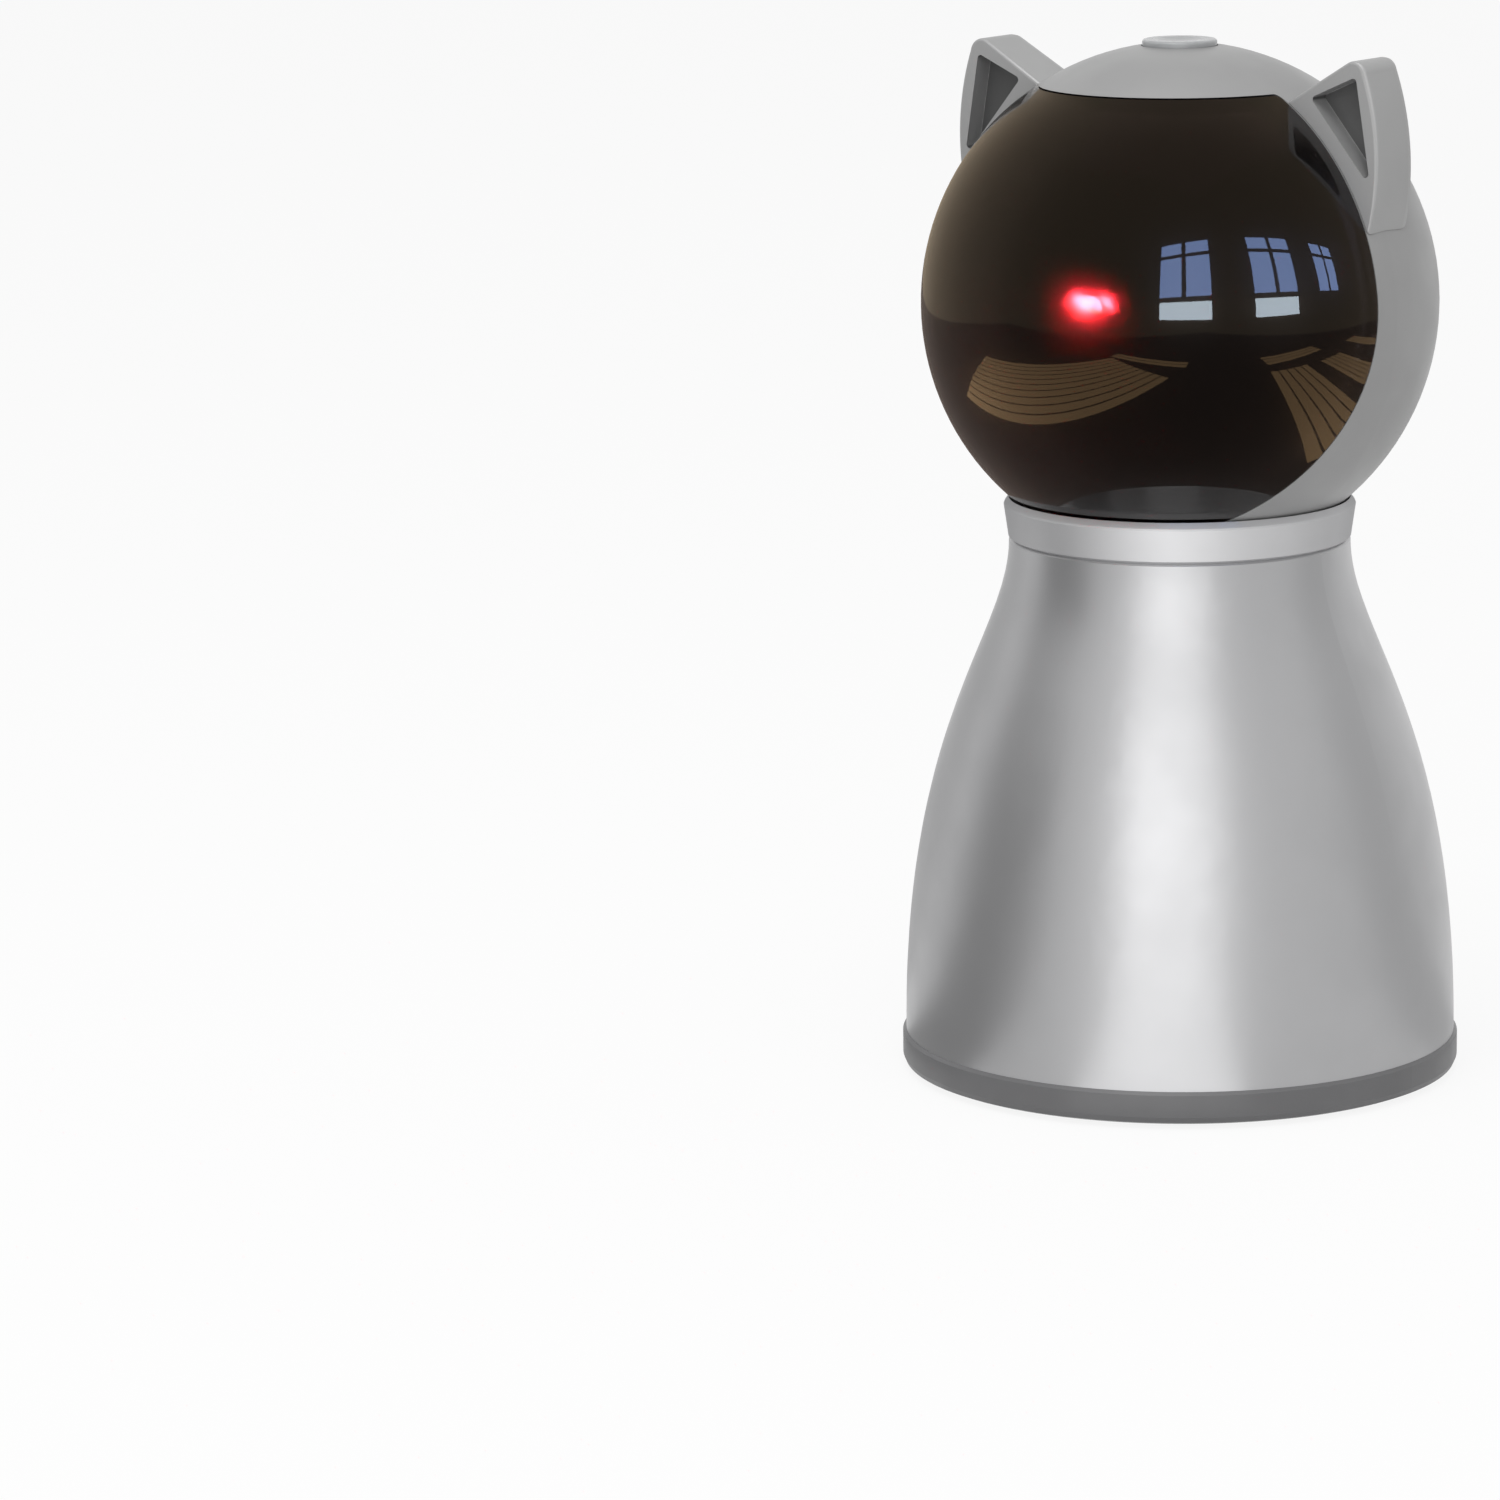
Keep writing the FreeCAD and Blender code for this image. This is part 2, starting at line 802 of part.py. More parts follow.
def neck_collar():
    """Flared ring that clamps the head on the body and hides the joint."""
    seat_r = head_r + seat_gap
    seat_low = z_head + collar_seat_rise
    low_in = math.sqrt(seat_r ** 2 - (seat_low - z_centre) ** 2)
    mid = (z_lip + seat_low) / 2
    mid_in = math.sqrt(seat_r ** 2 - (mid - z_centre) ** 2)
    flare_r = body_top_r + collar_flare
    z_slope = z_lip - lip_slope
    foot_r_out = body_top_r + collar_foot_out
    outer = lines([(lip_in_r, z_lip), (flare_r - lip_edge_in, z_slope), (flare_r, z_slope - lip_edge_drop),
                   (foot_r_out, z_neck + body_seam_edge), (body_top_r - body_seam_edge, z_neck),
                   (rib_out_r + rib_gap, z_neck), (rib_out_r + rib_gap, z_neck + rib_h + rib_gap),
                   (rib_in_r - rib_gap, z_neck + rib_h + rib_gap), (rib_in_r - rib_gap, z_neck),
                   (cable_hole_r, z_neck), (cable_hole_r, z_head), (low_in, z_head), (low_in, seat_low)])
    seat = Part.Arc(V(low_in, 0, seat_low), V(mid_in, 0, mid), V(lip_in_r, 0, z_lip)).toShape()
    collar = spun(outer + [seat])
    for x, y in neck_places:
        collar = collar.cut(through((x, y, z_neck), UP, collar_floor_t))
    return collar


def neck_screws():
    """Screws from inside the body, through shelf and collar, into the head."""
    return group([screw((x, y, z_shelf), UP, neck_screw_len) for x, y in neck_places])


# Head


def window(inset):
    """Solid in front of the window line, seen from the side, drawn inwards by an inset."""
    front = window_front + inset
    top = window_top - inset
    bend = window_bend_r - inset
    middle = window_front + window_bend_r
    low = -head_r - window_low_past
    far = head_r + past

    def bend_at(z):
        return middle - math.sqrt(bend ** 2 - (z - window_bend_above) ** 2)

    def spot(forward, up):
        return V(-far, -forward, z_centre + up)

    corner = window_corner_r - inset
    mid = (low + window_bend_above) / 2
    edges = [
        Part.makeLine(spot(far, top), spot(far, low)),
        Part.makeLine(spot(far, low), spot(bend_at(low), low)),
        Part.Arc(spot(bend_at(low), low), spot(bend_at(mid), mid), spot(front, window_bend_above)).toShape(),
    ]
    if corner > 0:
        diagonal = corner * (1 - math.sqrt(0.5))
        edges.append(Part.makeLine(spot(front, window_bend_above), spot(front, top - corner)))
        edges.append(Part.Arc(spot(front, top - corner), spot(front + diagonal, top - diagonal),
                              spot(front + corner, top)).toShape())
        edges.append(Part.makeLine(spot(front + corner, top), spot(far, top)))
    else:
        edges.append(Part.makeLine(spot(front, window_bend_above), spot(front, top)))
        edges.append(Part.makeLine(spot(front, top), spot(far, top)))
    return Part.Face(Part.Wire(edges)).extrude(V(2 * far, 0, 0))


def above(z):
    """Everything in the head's neighbourhood over a level."""
    far = head_r + past
    return block(-far, far, -far, far, z, z_centre + far)


def globe_skin(r_in, r_out):
    """Spherical wall between two radii, open at the neck."""
    return ball(r_out).cut(ball(r_in)).common(above(z_head))


def ear_peg_way(angle):
    """Direction of an ear's peg, square to the globe."""
    start = polar(angle, head_in_r)
    start.y = ear_peg_back
    way = start.sub(V(0, 0, z_centre))
    return way.normalize()


def head_shell():
    """Back of the globe with its crown, window ledge, neck floor, posts and bosses."""
    hollow = ball(head_in_r).common(above(z_head + head_floor_t))
    shell = ball(head_r).common(above(z_head)).cut(hollow).cut(window(0.0))
    ledge_out = head_in_r - ledge_gap
    ledge = globe_skin(ledge_out - ledge_t, ledge_out).common(window(-ledge_root)).cut(window(ledge_reach))
    root = globe_skin(ledge_out - ledge_t, head_in_r + ledge_gap)
    root = root.common(window(-ledge_root)).cut(window(0.0))
    limit = ball(head_r - post_sink)
    sleeve = disc(button_r + button_gap + sleeve_t, z_sleeve, z_crown).common(limit)
    crown = [disc(crown_boss_r, z_crown_board_top, z_crown, s * crown_boss_x, 0).common(limit)
             for s in (-1, 1)]
    z_neck_boss = z_head + head_floor_t + neck_boss_h
    necks = [disc(neck_boss_r, z_head + post_sink, z_neck_boss, x, y) for x, y in neck_places]
    posts = [disc(post_r, z_head, z_deck, x, y).common(limit) for x, y in post_places]
    shell = join([shell, ledge.fuse(root), sleeve] + crown + necks + posts)
    shell = shell.cut(disc(button_r + button_gap, z_sleeve, z_crown + past))
    shell = shell.cut(disc(cable_hole_r, z_head, z_head + head_floor_t))
    neck_pilot = neck_screw_len - shelf_t - collar_floor_t + pilot_past
    for x, y in neck_places:
        shell = shell.cut(pilot((x, y, z_head), UP, neck_pilot))
    for x, y in post_places:
        shell = shell.cut(pilot((x, y, z_deck), DOWN, deck_screw_len))
    for side in (-1, 1):
        seat = (side * crown_boss_x, 0, z_crown_board_top)
        shell = shell.cut(pilot(seat, UP, crown_screw_len, True))
        for angle in ear_peg_angles:
            way = ear_peg_way(angle)
            start = V(0, 0, z_centre).add(way * (head_in_r - past))
            hole = rod(ear_peg_r + ear_peg_gap, start, way, head_wall + 2 * past)
            shell = shell.cut(hole if side > 0 else mirror_x(hole))
    return shell


def visor():
    """Smoked front of the globe, flush with the head shell."""
    return globe_skin(head_in_r, head_r).common(window(visor_gap))


def mirror_x(shape):
    """Mirror image on the other side of the toy."""
    return shape.mirror(V(0, 0, 0), V(1, 0, 0))


def rounded_corner(a, tip, b, r):
    """Start, middle and end of the arc that rounds the corner at tip between straight sides."""
    to_a = a.sub(tip).normalize()
    to_b = b.sub(tip).normalize()
    half = to_a.getAngle(to_b) / 2
    along = r / math.tan(half)
    start = tip.add(to_a * along)
    end = tip.add(to_b * along)
    bisect = to_a.add(to_b).normalize()
    mid = tip.add(bisect * (r / math.sin(half) - r))
    return start, mid, end


def ear_outline(inset, set_back):
    """Outline of the right ear, drawn inwards, with each point moved along Y by a rule."""
    turn = math.degrees(inset / head_r)
    high = ear_in_angle - turn
    low = ear_out_angle + turn
    inner = polar(high, head_r)
    tip = polar(ear_tip_angle, head_r + ear_tip_rise - inset * ear_tip_pull)
    bulge = polar(ear_bulge_angle, head_r + ear_bulge_rise - inset)
    shoulder = tip.add(bulge.sub(tip) * ear_shoulder)
    start, mid, end = rounded_corner(inner, tip, shoulder, ear_tip_r - inset)
    root_in = polar(high, head_r - ear_sink)
    root_out = polar(low, head_r - ear_sink)
    outer = polar(low, head_r)
    spots = [root_in, inner, start, mid, end, bulge, outer, root_out]
    for spot in spots:
        spot.y = set_back(spot)
    root_in, inner, start, mid, end, bulge, outer, root_out = spots
    return Part.Wire([
        Part.makeLine(root_in, inner),
        Part.makeLine(inner, start),
        Part.Arc(start, mid, end).toShape(),
        Part.Arc(end, bulge, outer).toShape(),
        Part.makeLine(outer, root_out),
        Part.makeLine(root_out, root_in),
    ])


def ear_body():
    """Right ear from its flat front to its leaning back, with rounded edges all round."""
    y_front = ear_front_gap - window_front
    slope = (ear_root_t - ear_tip_t) / ear_tip_rise
    along = polar((ear_in_angle + ear_out_angle) / 2, 1.0).sub(V(0, 0, z_centre))

    def front(depth):
        return lambda spot: y_front + depth

    def back(depth):
        def rule(spot):
            rise = V(spot.x, 0, spot.z - z_centre).dot(along) - head_r
            return y_front + ear_root_t - slope * rise - depth
        return rule

    wires = []
    for i in range(ear_edge_steps + 1):
        a = math.radians(90.0 * i / ear_edge_steps)
        r = ear_front_edge_r
        wires.append(ear_outline(r * (1 - math.sin(a)), front(r * (1 - math.cos(a)))))
    for i in range(ear_edge_steps + 1):
        a = math.radians(90.0 * i / ear_edge_steps)
        r = ear_back_edge_r
        wires.append(ear_outline(r * (1 - math.cos(a)), back(r * (1 - math.sin(a)))))
    return Part.makeLoft(wires, True, True)


def ear_pocket():
    """Three-cornered pocket in the front of the right ear."""
    spots = [
        polar(pocket_in_angle, head_r + pocket_in_rise),
        polar(pocket_tip_angle, head_r + pocket_tip_rise),
        polar(pocket_out_angle, head_r + pocket_out_rise),
    ]
    edges = []
    ends = []
    for i in range(3):
        a, tip, b = spots[i - 1], spots[i], spots[(i + 1) % 3]
        start, mid, end = rounded_corner(a, tip, b, pocket_corner_r)
        if ends:
            edges.append(Part.makeLine(ends[-1], start))
        edges.append(Part.Arc(start, mid, end).toShape())
        ends.append(end)
        if i == 0:
            first = start
    edges.append(Part.makeLine(ends[-1], first))
    pocket = Part.Face(Part.Wire(edges)).extrude(V(0, pocket_depth, 0))
    pocket.translate(V(0, ear_front_gap - window_front, 0))
    return pocket


def right_ear():
    """Hollow-fronted ear on two pegs, seated on the globe."""
    ear = ear_body()
    ear = ear.cut(ball(head_r + ear_surface_gap)).cut(ear_pocket())
    for angle in ear_peg_angles:
        way = ear_peg_way(angle)
        start = V(0, 0, z_centre).add(way * head_in_r)
        ear = ear.fuse(rod(ear_peg_r, start, way, head_wall + ear_peg_root))
    for angle in ear_peg_angles:
        way = ear_peg_way(angle)
        start = V(0, 0, z_centre).add(way * head_in_r)
        ear = ear.cut(rod(small_screw_r + thread_gap, start, way, ear_screw_len))
    return ear.removeSplitter()


def left_ear():
    """Mirror image of the right ear."""
    return mirror_x(right_ear())


def ear_screws():
    """Screws from inside the globe into the pegs of both ears."""
    solids = []
    for angle in ear_peg_angles:
        way = ear_peg_way(angle)
        seat = V(0, 0, z_centre).add(way * head_in_r)
        one = screw((seat.x, seat.y, seat.z), way, ear_screw_len - pilot_past, True)
        solids += [one, mirror_x(one)]
    return group(solids)


# Crown button


def power_button():
    """Translucent cap with a dished top, a stop flange and a stem."""
    top = z_crown + button_proud
    edge = button_edge_r
    round_mid = edge * math.sqrt(0.5)
    profile = lines([(button_dish_r, top), (button_r - edge, top)])
    profile.append(Part.Arc(V(button_r - edge, 0, top),
                            V(button_r - edge + round_mid, 0, top - edge + round_mid),
                            V(button_r, 0, top - edge)).toShape())
    profile += lines([(button_r, top - edge), (button_r, z_flange_top), (flange_r, z_flange_top),
                      (flange_r, z_flange), (stem_r, z_flange), (stem_r, z_plunger),
                      (0, z_plunger), (0, top - button_dish)])
    half = button_dish_r / 2
    sag = (button_dish_r ** 2 + button_dish ** 2) / (2 * button_dish)
    mid_z = top - button_dish + sag - math.sqrt(sag ** 2 - half ** 2)
    dish = Part.Arc(V(0, 0, top - button_dish), V(half, 0, mid_z), V(button_dish_r, 0, top))
    profile.append(dish.toShape())
    return spun(profile)


def switch_plunger():
    """Moving pin of the tact switch."""
    return disc(plunger_r, z_switch - button_travel - plunger_sink, z_plunger)


def mode_switch():
    """Tact switch under the button, with a well for its plunger."""
    half = switch_w / 2
    body = block(-half, half, -half, half, z_crown_board_top, z_switch)
    well = disc(plunger_r + plunger_gap, z_switch - 2 * (button_travel + plunger_sink), z_switch)
    return body.cut(well)


def button_board():
    """Small circuit board under the crown."""
    z1 = z_crown_board_top
    board = disc(crown_board_r, z_crown_board, z1)
    for side in (-1, 1):
        arm = tangent_plate((0, 0), crown_board_r, (side * crown_boss_x, 0), crown_ear_r, z_crown_board, z1)
        board = board.fuse(arm)
    board = board.removeSplitter()
    for side in (-1, 1):
        board = board.cut(through((side * crown_boss_x, 0, z_crown_board), UP, crown_board_t, True))
    return board


def button_board_screws():
    """Screws of the button board."""
    length = crown_screw_len
    return group([screw((s * crown_boss_x, 0, z_crown_board), UP, length, True) for s in (-1, 1)])


def indicator_led():
    """Round lamp that shines up through the button."""
    z1 = z_crown_board_top + led_h
    lamp = disc(led_r, z_crown_board_top, z1, 0, led_out)
    rim = [e for e in lamp.Edges if on_circle(e, led_r, z1)]
    return lamp.makeFillet(led_r * led_dome_share, rim)


# Gears


def gear_wire(module, teeth, first_deg, z):
    """Closed outline of an involute gear with one tooth centred on the first angle."""
    pitch_r = module * teeth / 2
    tip_r = pitch_r + tip_height * module
    root_r = pitch_r - root_depth * module
    base = pitch_r * math.cos(math.radians(pressure_deg))
    start_r = max(base, root_r)

    def spread(r):
        """Angle that the involute has turned at a radius."""
        lean = math.acos(min(1.0, base / r))
        return math.tan(lean) - lean

    half_pitch = math.pi / (2 * teeth) - backlash / (4 * pitch_r) + spread(pitch_r)

    def half_angle(r):
        return half_pitch - spread(r)

    def at(r, angle):
        return V(r * math.cos(angle), r * math.sin(angle), z)

    mid_r = (start_r + tip_r) / 2
    step = 2 * math.pi / teeth
    edges = []
    for i in range(teeth):
        a = math.radians(first_deg) + i * step
        foot = at(root_r, a - half_angle(start_r))
        rise = at(start_r, a - half_angle(start_r))
        if start_r > root_r:
            edges.append(Part.makeLine(foot, rise))
        top_in = at(tip_r, a - half_angle(tip_r))
        top_out = at(tip_r, a + half_angle(tip_r))
        edges.append(Part.Arc(rise, at(mid_r, a - half_angle(mid_r)), top_in).toShape())
        edges.append(Part.makeLine(top_in, top_out))
        fall = at(start_r, a + half_angle(start_r))
        edges.append(Part.Arc(top_out, at(mid_r, a + half_angle(mid_r)), fall).toShape())
        foot = at(root_r, a + half_angle(start_r))
        if start_r > root_r:
            edges.append(Part.makeLine(fall, foot))
        edges.append(Part.makeLine(foot, at(root_r, a + step - half_angle(start_r))))
    return Part.Wire(edges)


def gear_solid(module, teeth, first_deg, z0, z1):
    """Toothed disc between two levels."""
    return Part.Face(gear_wire(module, teeth, first_deg, z0)).extrude(V(0, 0, z1 - z0))


def flat_shaft(r, flat, z0, z1):
    """Round shaft with one flat, which faces +X."""
    return disc(r, z0, z1).common(block(-2 * r, flat, -2 * r, 2 * r, z0, z1))


def pan_gear():
    """Large spur gear with a thin web, fixed under the yoke's shaft."""
    gear = gear_solid(pan_module, pan_teeth, 90.0, z_gear, z_gear_top)
    rim_r = pan_gear_r - root_depth * pan_module - pan_rim_t
    recess = (pan_face - pan_web_t) / 2
    gear = gear.cut(ring(pan_hub_r, rim_r, z_gear, z_gear + recess))
    gear = gear.cut(ring(pan_hub_r, rim_r, z_gear_top - recess, z_gear_top))
    gear = join([gear, disc(pan_hub_r, z_gear - pan_hub_t, z_gear_top)])
    for x, y in around(pan_hole_count, (pan_hub_r + rim_r) / 2, 0.0):
        gear = gear.cut(disc(pan_hole_r, z_gear, z_gear_top, x, y))
    bore = flat_shaft(turret_shaft_r + bore_gap, turret_flat + bore_gap, z_gear, z_gear_top)
    gear = gear.cut(bore)
    return gear.cut(through((0, 0, z_gear - pan_hub_t), UP, pan_hub_t))


def pan_gear_screw():
    """Screw that holds the gear on the yoke's shaft."""
    return screw((0, 0, z_gear - pan_hub_t), UP, turret_screw_len)


def pan_shaft():
    """Output shaft of the pan motor, pointing down through the deck."""
    shaft = flat_shaft(motor_shaft_r, motor_shaft_flat, z_gear_top - pan_pinion_face, z_deck_top)
    shaft = shaft.fuse(disc(motor_shaft_r, z_deck_top, z_deck_top + motor_shaft_in))
    shaft = shaft.removeSplitter()
    shaft.translate(V(0, pan_apart, 0))
    return shaft


def pan_pinion():
    """Small gear on the pan motor's shaft."""
    z0 = z_gear_top - pan_pinion_face
    first = -90.0 + 180.0 / pan_pinion_teeth
    gear = gear_solid(pan_module, pan_pinion_teeth, first, z0, z_gear_top)
    gear = gear.cut(flat_shaft(motor_shaft_r + bore_gap, motor_shaft_flat + bore_gap, z0, z_gear_top))
    gear.translate(V(0, pan_apart, 0))
    return gear


# Motors


def gear_motor(z0):
    """Small motor with a gearbox, standing on its front plate with its shaft hole down."""
    half_w = motor_w / 2
    half_d = motor_d / 2
    z_box = z0 + gearbox_len
    z_can = z_box + can_len
    inset = gearbox_inset
    plates = [block(-half_w, half_w, -half_d, half_d, z, z + plate_t) for z in (z0, z_box - plate_t)]
    middle = block(-half_w + inset, half_w - inset, -half_d + inset, half_d - inset, z0, z_box)
    can = disc(half_w, z_box, z_can).common(block(-half_w, half_w, -half_d, half_d, z_box, z_can))
    cap_r = half_w - cap_inset
    cap = disc(cap_r, z_can, z_can + cap_len)
    cap = cap.common(block(-cap_r, cap_r, -half_d + cap_inset, half_d - cap_inset, z_can, z_can + cap_len))
    tags = []
    for side in (-1, 1):
        x = side * terminal_apart / 2
        tags.append(block(x - terminal_w / 2, x + terminal_w / 2, -terminal_t / 2, terminal_t / 2,
                          z_can + cap_len, z_can + cap_len + terminal_h))
    motor = join(plates + [middle, can, cap] + tags)
    return motor.cut(disc(motor_shaft_r + shaft_gap, z0, z0 + motor_shaft_in + shaft_gap))


def pan_motor():
    """Motor that stands on the deck behind the yoke."""
    motor = gear_motor(z_deck_top)
    motor.translate(V(0, pan_apart, 0))
    return motor


def pan_motor_clamp():
    """Sleeve round the gearbox with two screw ears on the deck."""
    half_w = motor_w / 2 + sleeve_fit
    half_d = motor_d / 2 + sleeve_fit
    wall = sleeve_wall
    z1 = z_deck_top + sleeve_h
    sleeve = block(-half_w - wall, half_w + wall, -half_d - wall, half_d + wall, z_deck_top, z1)
    upright = [e for e in sleeve.Edges if abs(e.BoundBox.ZLength - sleeve_h) < 1e-6]
    sleeve = sleeve.makeFillet(sleeve_edge_r, upright)
    solids = [sleeve]
    for side in (-1, 1):
        solids.append(tangent_plate((0, 0), half_d, (side * clamp_ear_x, 0), clamp_ear_r,
                                    z_deck_top, z_deck_top + clamp_ear_t))
    clamp = join(solids)
    clamp = clamp.cut(block(-half_w, half_w, -half_d, half_d, z_deck_top, z1))
    for side in (-1, 1):
        clamp = clamp.cut(through((side * clamp_ear_x, 0, z_deck_top), UP, clamp_ear_t, True))
    clamp.translate(V(0, pan_apart, 0))
    return clamp


def pan_clamp_screws():
    """Screws of the pan motor's clamp."""
    z = z_deck_top + clamp_ear_t
    return group([screw((s * clamp_ear_x, pan_apart, z), DOWN, motor_screw_len, True) for s in (-1, 1)])


# Deck


def mechanism_deck():
    """Plate on four posts that carries the turret's bush and the pan motor."""
    plate = disc(deck_disc_r, z_deck, z_deck_top)
    for place in post_places:
        arm = tangent_plate((0, 0), deck_disc_r / 2, place, deck_ear_r, z_deck, z_deck_top)
        plate = plate.fuse(arm)
    for side in (-1, 1):
        arm = tangent_plate((0, 0), deck_disc_r / 2, (side * clamp_ear_x, pan_apart),
                            clamp_ear_r + deck_rim, z_deck, z_deck_top)
        plate = plate.fuse(arm)
    seat = block(-clamp_ear_x, clamp_ear_x, 0, pan_apart + motor_d / 2 + sleeve_wall, z_deck, z_deck_top)
    plate = plate.fuse(seat).removeSplitter()
    plate = plate.cut(disc(turret_shaft_r + bush_bore_gap + bush_wall, z_deck, z_deck_top))
    plate = plate.cut(disc(motor_shaft_r + shaft_hole_gap, z_deck, z_deck_top, 0, pan_apart))
    for x, y in post_places:
        plate = plate.cut(through((x, y, z_deck), UP, deck_t))
    for side in (-1, 1):
        hole = pilot((side * clamp_ear_x, pan_apart, z_deck), UP, deck_t, True)
        plate = plate.cut(hole)
    return plate


def deck_screws():
    """Screws that hold the deck on the posts."""
    return group([screw((x, y, z_deck_top), DOWN, deck_screw_len) for x, y in post_places])


def pan_bush():
    """Flanged bearing bush of the turret."""
    bore = turret_shaft_r + bush_bore_gap
    bush = ring(bore, bore + bush_wall, z_deck - bush_below, z_bush_top)
    return join([bush, ring(bore, bush_flange_r, z_deck_top, z_bush_top)])


# Yoke


def side_arm(x0, x1):
    """One arm of the yoke, from the disc up to the tilt pivot."""
    foot = (arm_foot_y, z_yoke_top + arm_foot_up)
    arm = tangent_plate(foot, arm_foot_r, (pivot_y, z_pivot), arm_top_r, x0, x1)
    skirt_y0 = arm_foot_y - arm_foot_r
    skirt = Part.makeBox(2 * arm_foot_r, arm_foot_up, x1 - x0, V(skirt_y0, z_yoke_top, x0))
    return to_side(arm.fuse(skirt))


def yoke():
    """Turret: disc and shaft, two arms for the laser and a cradle for the tilt motor."""
    shaft = disc(turret_shaft_r, z_gear_top, z_yoke)
    shaft = shaft.fuse(flat_shaft(turret_shaft_r, turret_flat, z_gear, z_gear_top))
    solids = [disc(yoke_disc_r, z_yoke, z_yoke_top), shaft]
    solids += [side_arm(-arm_out, -arm_in), side_arm(arm_in, arm_out)]
    y0 = tilt_motor_y - motor_d / 2
    y1 = tilt_motor_y + motor_d / 2
    bottom = z_tilt_motor - motor_w / 2
    for x in cradle_rib_x:
        x1 = x + cradle_rib_t
        solids.append(block(x, x1, y0 - cradle_cheek_t, y1 + cradle_cheek_t, z_yoke, bottom))
        solids.append(block(x, x1, y1 + sleeve_fit, y1 + sleeve_fit + cradle_cheek_t, z_yoke, z_strap_foot))
        solids.append(block(x, x1, y0 - sleeve_fit - cradle_cheek_t, y0 - sleeve_fit, z_yoke,
                            bottom + cradle_cheek_h))
    px, py = strap_post_place()
    solids.append(disc(strap_post_r, z_yoke, z_strap_foot, px, py))
    body = join(solids)
    for x0 in (-arm_out, arm_in):
        bore = rod(pin_r + pin_gap, V(x0, pivot_y, z_pivot), V(1, 0, 0), arm_t)
        body = body.cut(bore)
    body = body.cut(pilot((px, py, z_yoke), UP, z_strap_foot, True))
    return body.cut(pilot((0, 0, z_gear), UP, turret_screw_len))


def strap_post_place():
    """Place of the post that takes the tilt motor's strap."""
    y = tilt_motor_y + motor_d / 2 + sleeve_fit + cradle_cheek_t + strap_post_r + strap_post_gap
    return strap_x, y


def tilt_motor():
    """Motor that lies across the yoke with its shaft towards +X."""
    motor = gear_motor(motor_face_back - arm_out)
    motor.rotate(V(0, 0, 0), UP, 90)
    motor = to_side(motor)
    motor = motor.mirror(V(0, 0, 0), V(1, 0, 0))
    motor.translate(V(0, tilt_motor_y, z_tilt_motor))
    return motor


def tilt_motor_strap():
    """Strap over the motor's can, hooked over its front edge and screwed behind it."""
    y0 = tilt_motor_y - motor_d / 2 - sleeve_fit
    y1 = tilt_motor_y + motor_d / 2 + sleeve_fit
    top = z_tilt_motor + motor_w / 2 + sleeve_fit
    x0 = strap_x - strap_w / 2
    x1 = strap_x + strap_w / 2
    px, py = strap_post_place()
    strap = join([
        block(x0, x1, y0 - strap_t, y1 + strap_t, top, top + strap_t),
        block(x0, x1, y0 - strap_t, y0, top - strap_hook, top + strap_t),
        block(x0, x1, y1, y1 + strap_t, z_strap_foot, top + strap_t),
        block(x0, x1, y1, py + strap_post_r, z_strap_foot, z_strap_foot + strap_t),
    ])
    return strap.cut(through((px, py, z_strap_foot), UP, strap_t, True))


def tilt_strap_screw():
    """Screw of the tilt motor's strap."""
    px, py = strap_post_place()
    return screw((px, py, z_strap_foot + strap_t), DOWN, strap_screw_len, True)


def tilt_shaft():
    """Output shaft of the tilt motor."""
    face = arm_out - motor_face_back
    end = tilt_gear_x + tilt_pinion_face
    shaft = flat_shaft(motor_shaft_r, motor_shaft_flat, face, end)
    shaft = shaft.fuse(disc(motor_shaft_r, face - motor_shaft_in, face)).removeSplitter()
    shaft = to_side(shaft)
    shaft.translate(V(0, tilt_motor_y, z_tilt_motor))
    return shaft


def tilt_pinion():
    """Small gear on the tilt motor's shaft."""
    z0 = tilt_gear_x - (tilt_pinion_face - tilt_face) / 2
    z1 = z0 + tilt_pinion_face
    first = tilt_mesh_deg + 180.0 + 180.0 / tilt_pinion_teeth
    gear = gear_solid(tilt_module, tilt_pinion_teeth, first, z0, z1)
    gear = gear.cut(flat_shaft(motor_shaft_r + bore_gap, motor_shaft_flat + bore_gap, z0, z1))
    gear = to_side(gear)
    gear.translate(V(0, tilt_motor_y, z_tilt_motor))
    return gear


def tilt_gear():
    """Toothed sector on the laser's pin, as long as the tilt range needs."""
    z0 = tilt_gear_x
    z1 = z0 + tilt_face
    whole = gear_solid(tilt_module, tilt_teeth, tilt_mesh_deg, z0, z1)
    low = tilt_mesh_deg - tilt_down_deg - tilt_margin_deg
    high = tilt_mesh_deg + tilt_up_deg + tilt_margin_deg
    far = 2 * tilt_gear_r
    mid = math.radians((low + high) / 2)
    corners = [V(0, 0, z0)]
    for a in (math.radians(low), mid, math.radians(high)):
        corners.append(V(far * math.cos(a), far * math.sin(a), z0))
    corners.append(corners[0])
    wedge = Part.Face(Part.makePolygon(corners)).extrude(V(0, 0, tilt_face))
    hub = disc(tilt_hub_r, z0 - tilt_hub_t, z1)
    sector = join([whole.common(wedge), hub])
    middle_r = (tilt_hub_r + tilt_gear_r - root_depth * tilt_module) / 2
    for share in tilt_window_shares:
        a = math.radians(low + (high - low) * share)
        hole = disc(tilt_window_r, z0, z1, middle_r * math.cos(a), middle_r * math.sin(a))
        sector = sector.cut(hole)
    sector = to_side(sector.cut(disc(pin_r + bore_gap, z0 - tilt_hub_t, z1)))
    sector.translate(V(0, pivot_y, z_pivot))
    return sector


# Laser


def aimed(shape):
    """Moves a shape built along Z at the pivot so that Z is the beam."""
    return placed(shape, V(0, pivot_y, z_pivot), FreeCAD.Rotation(V(1, 0, 0), 90.0 + beam_down_deg))


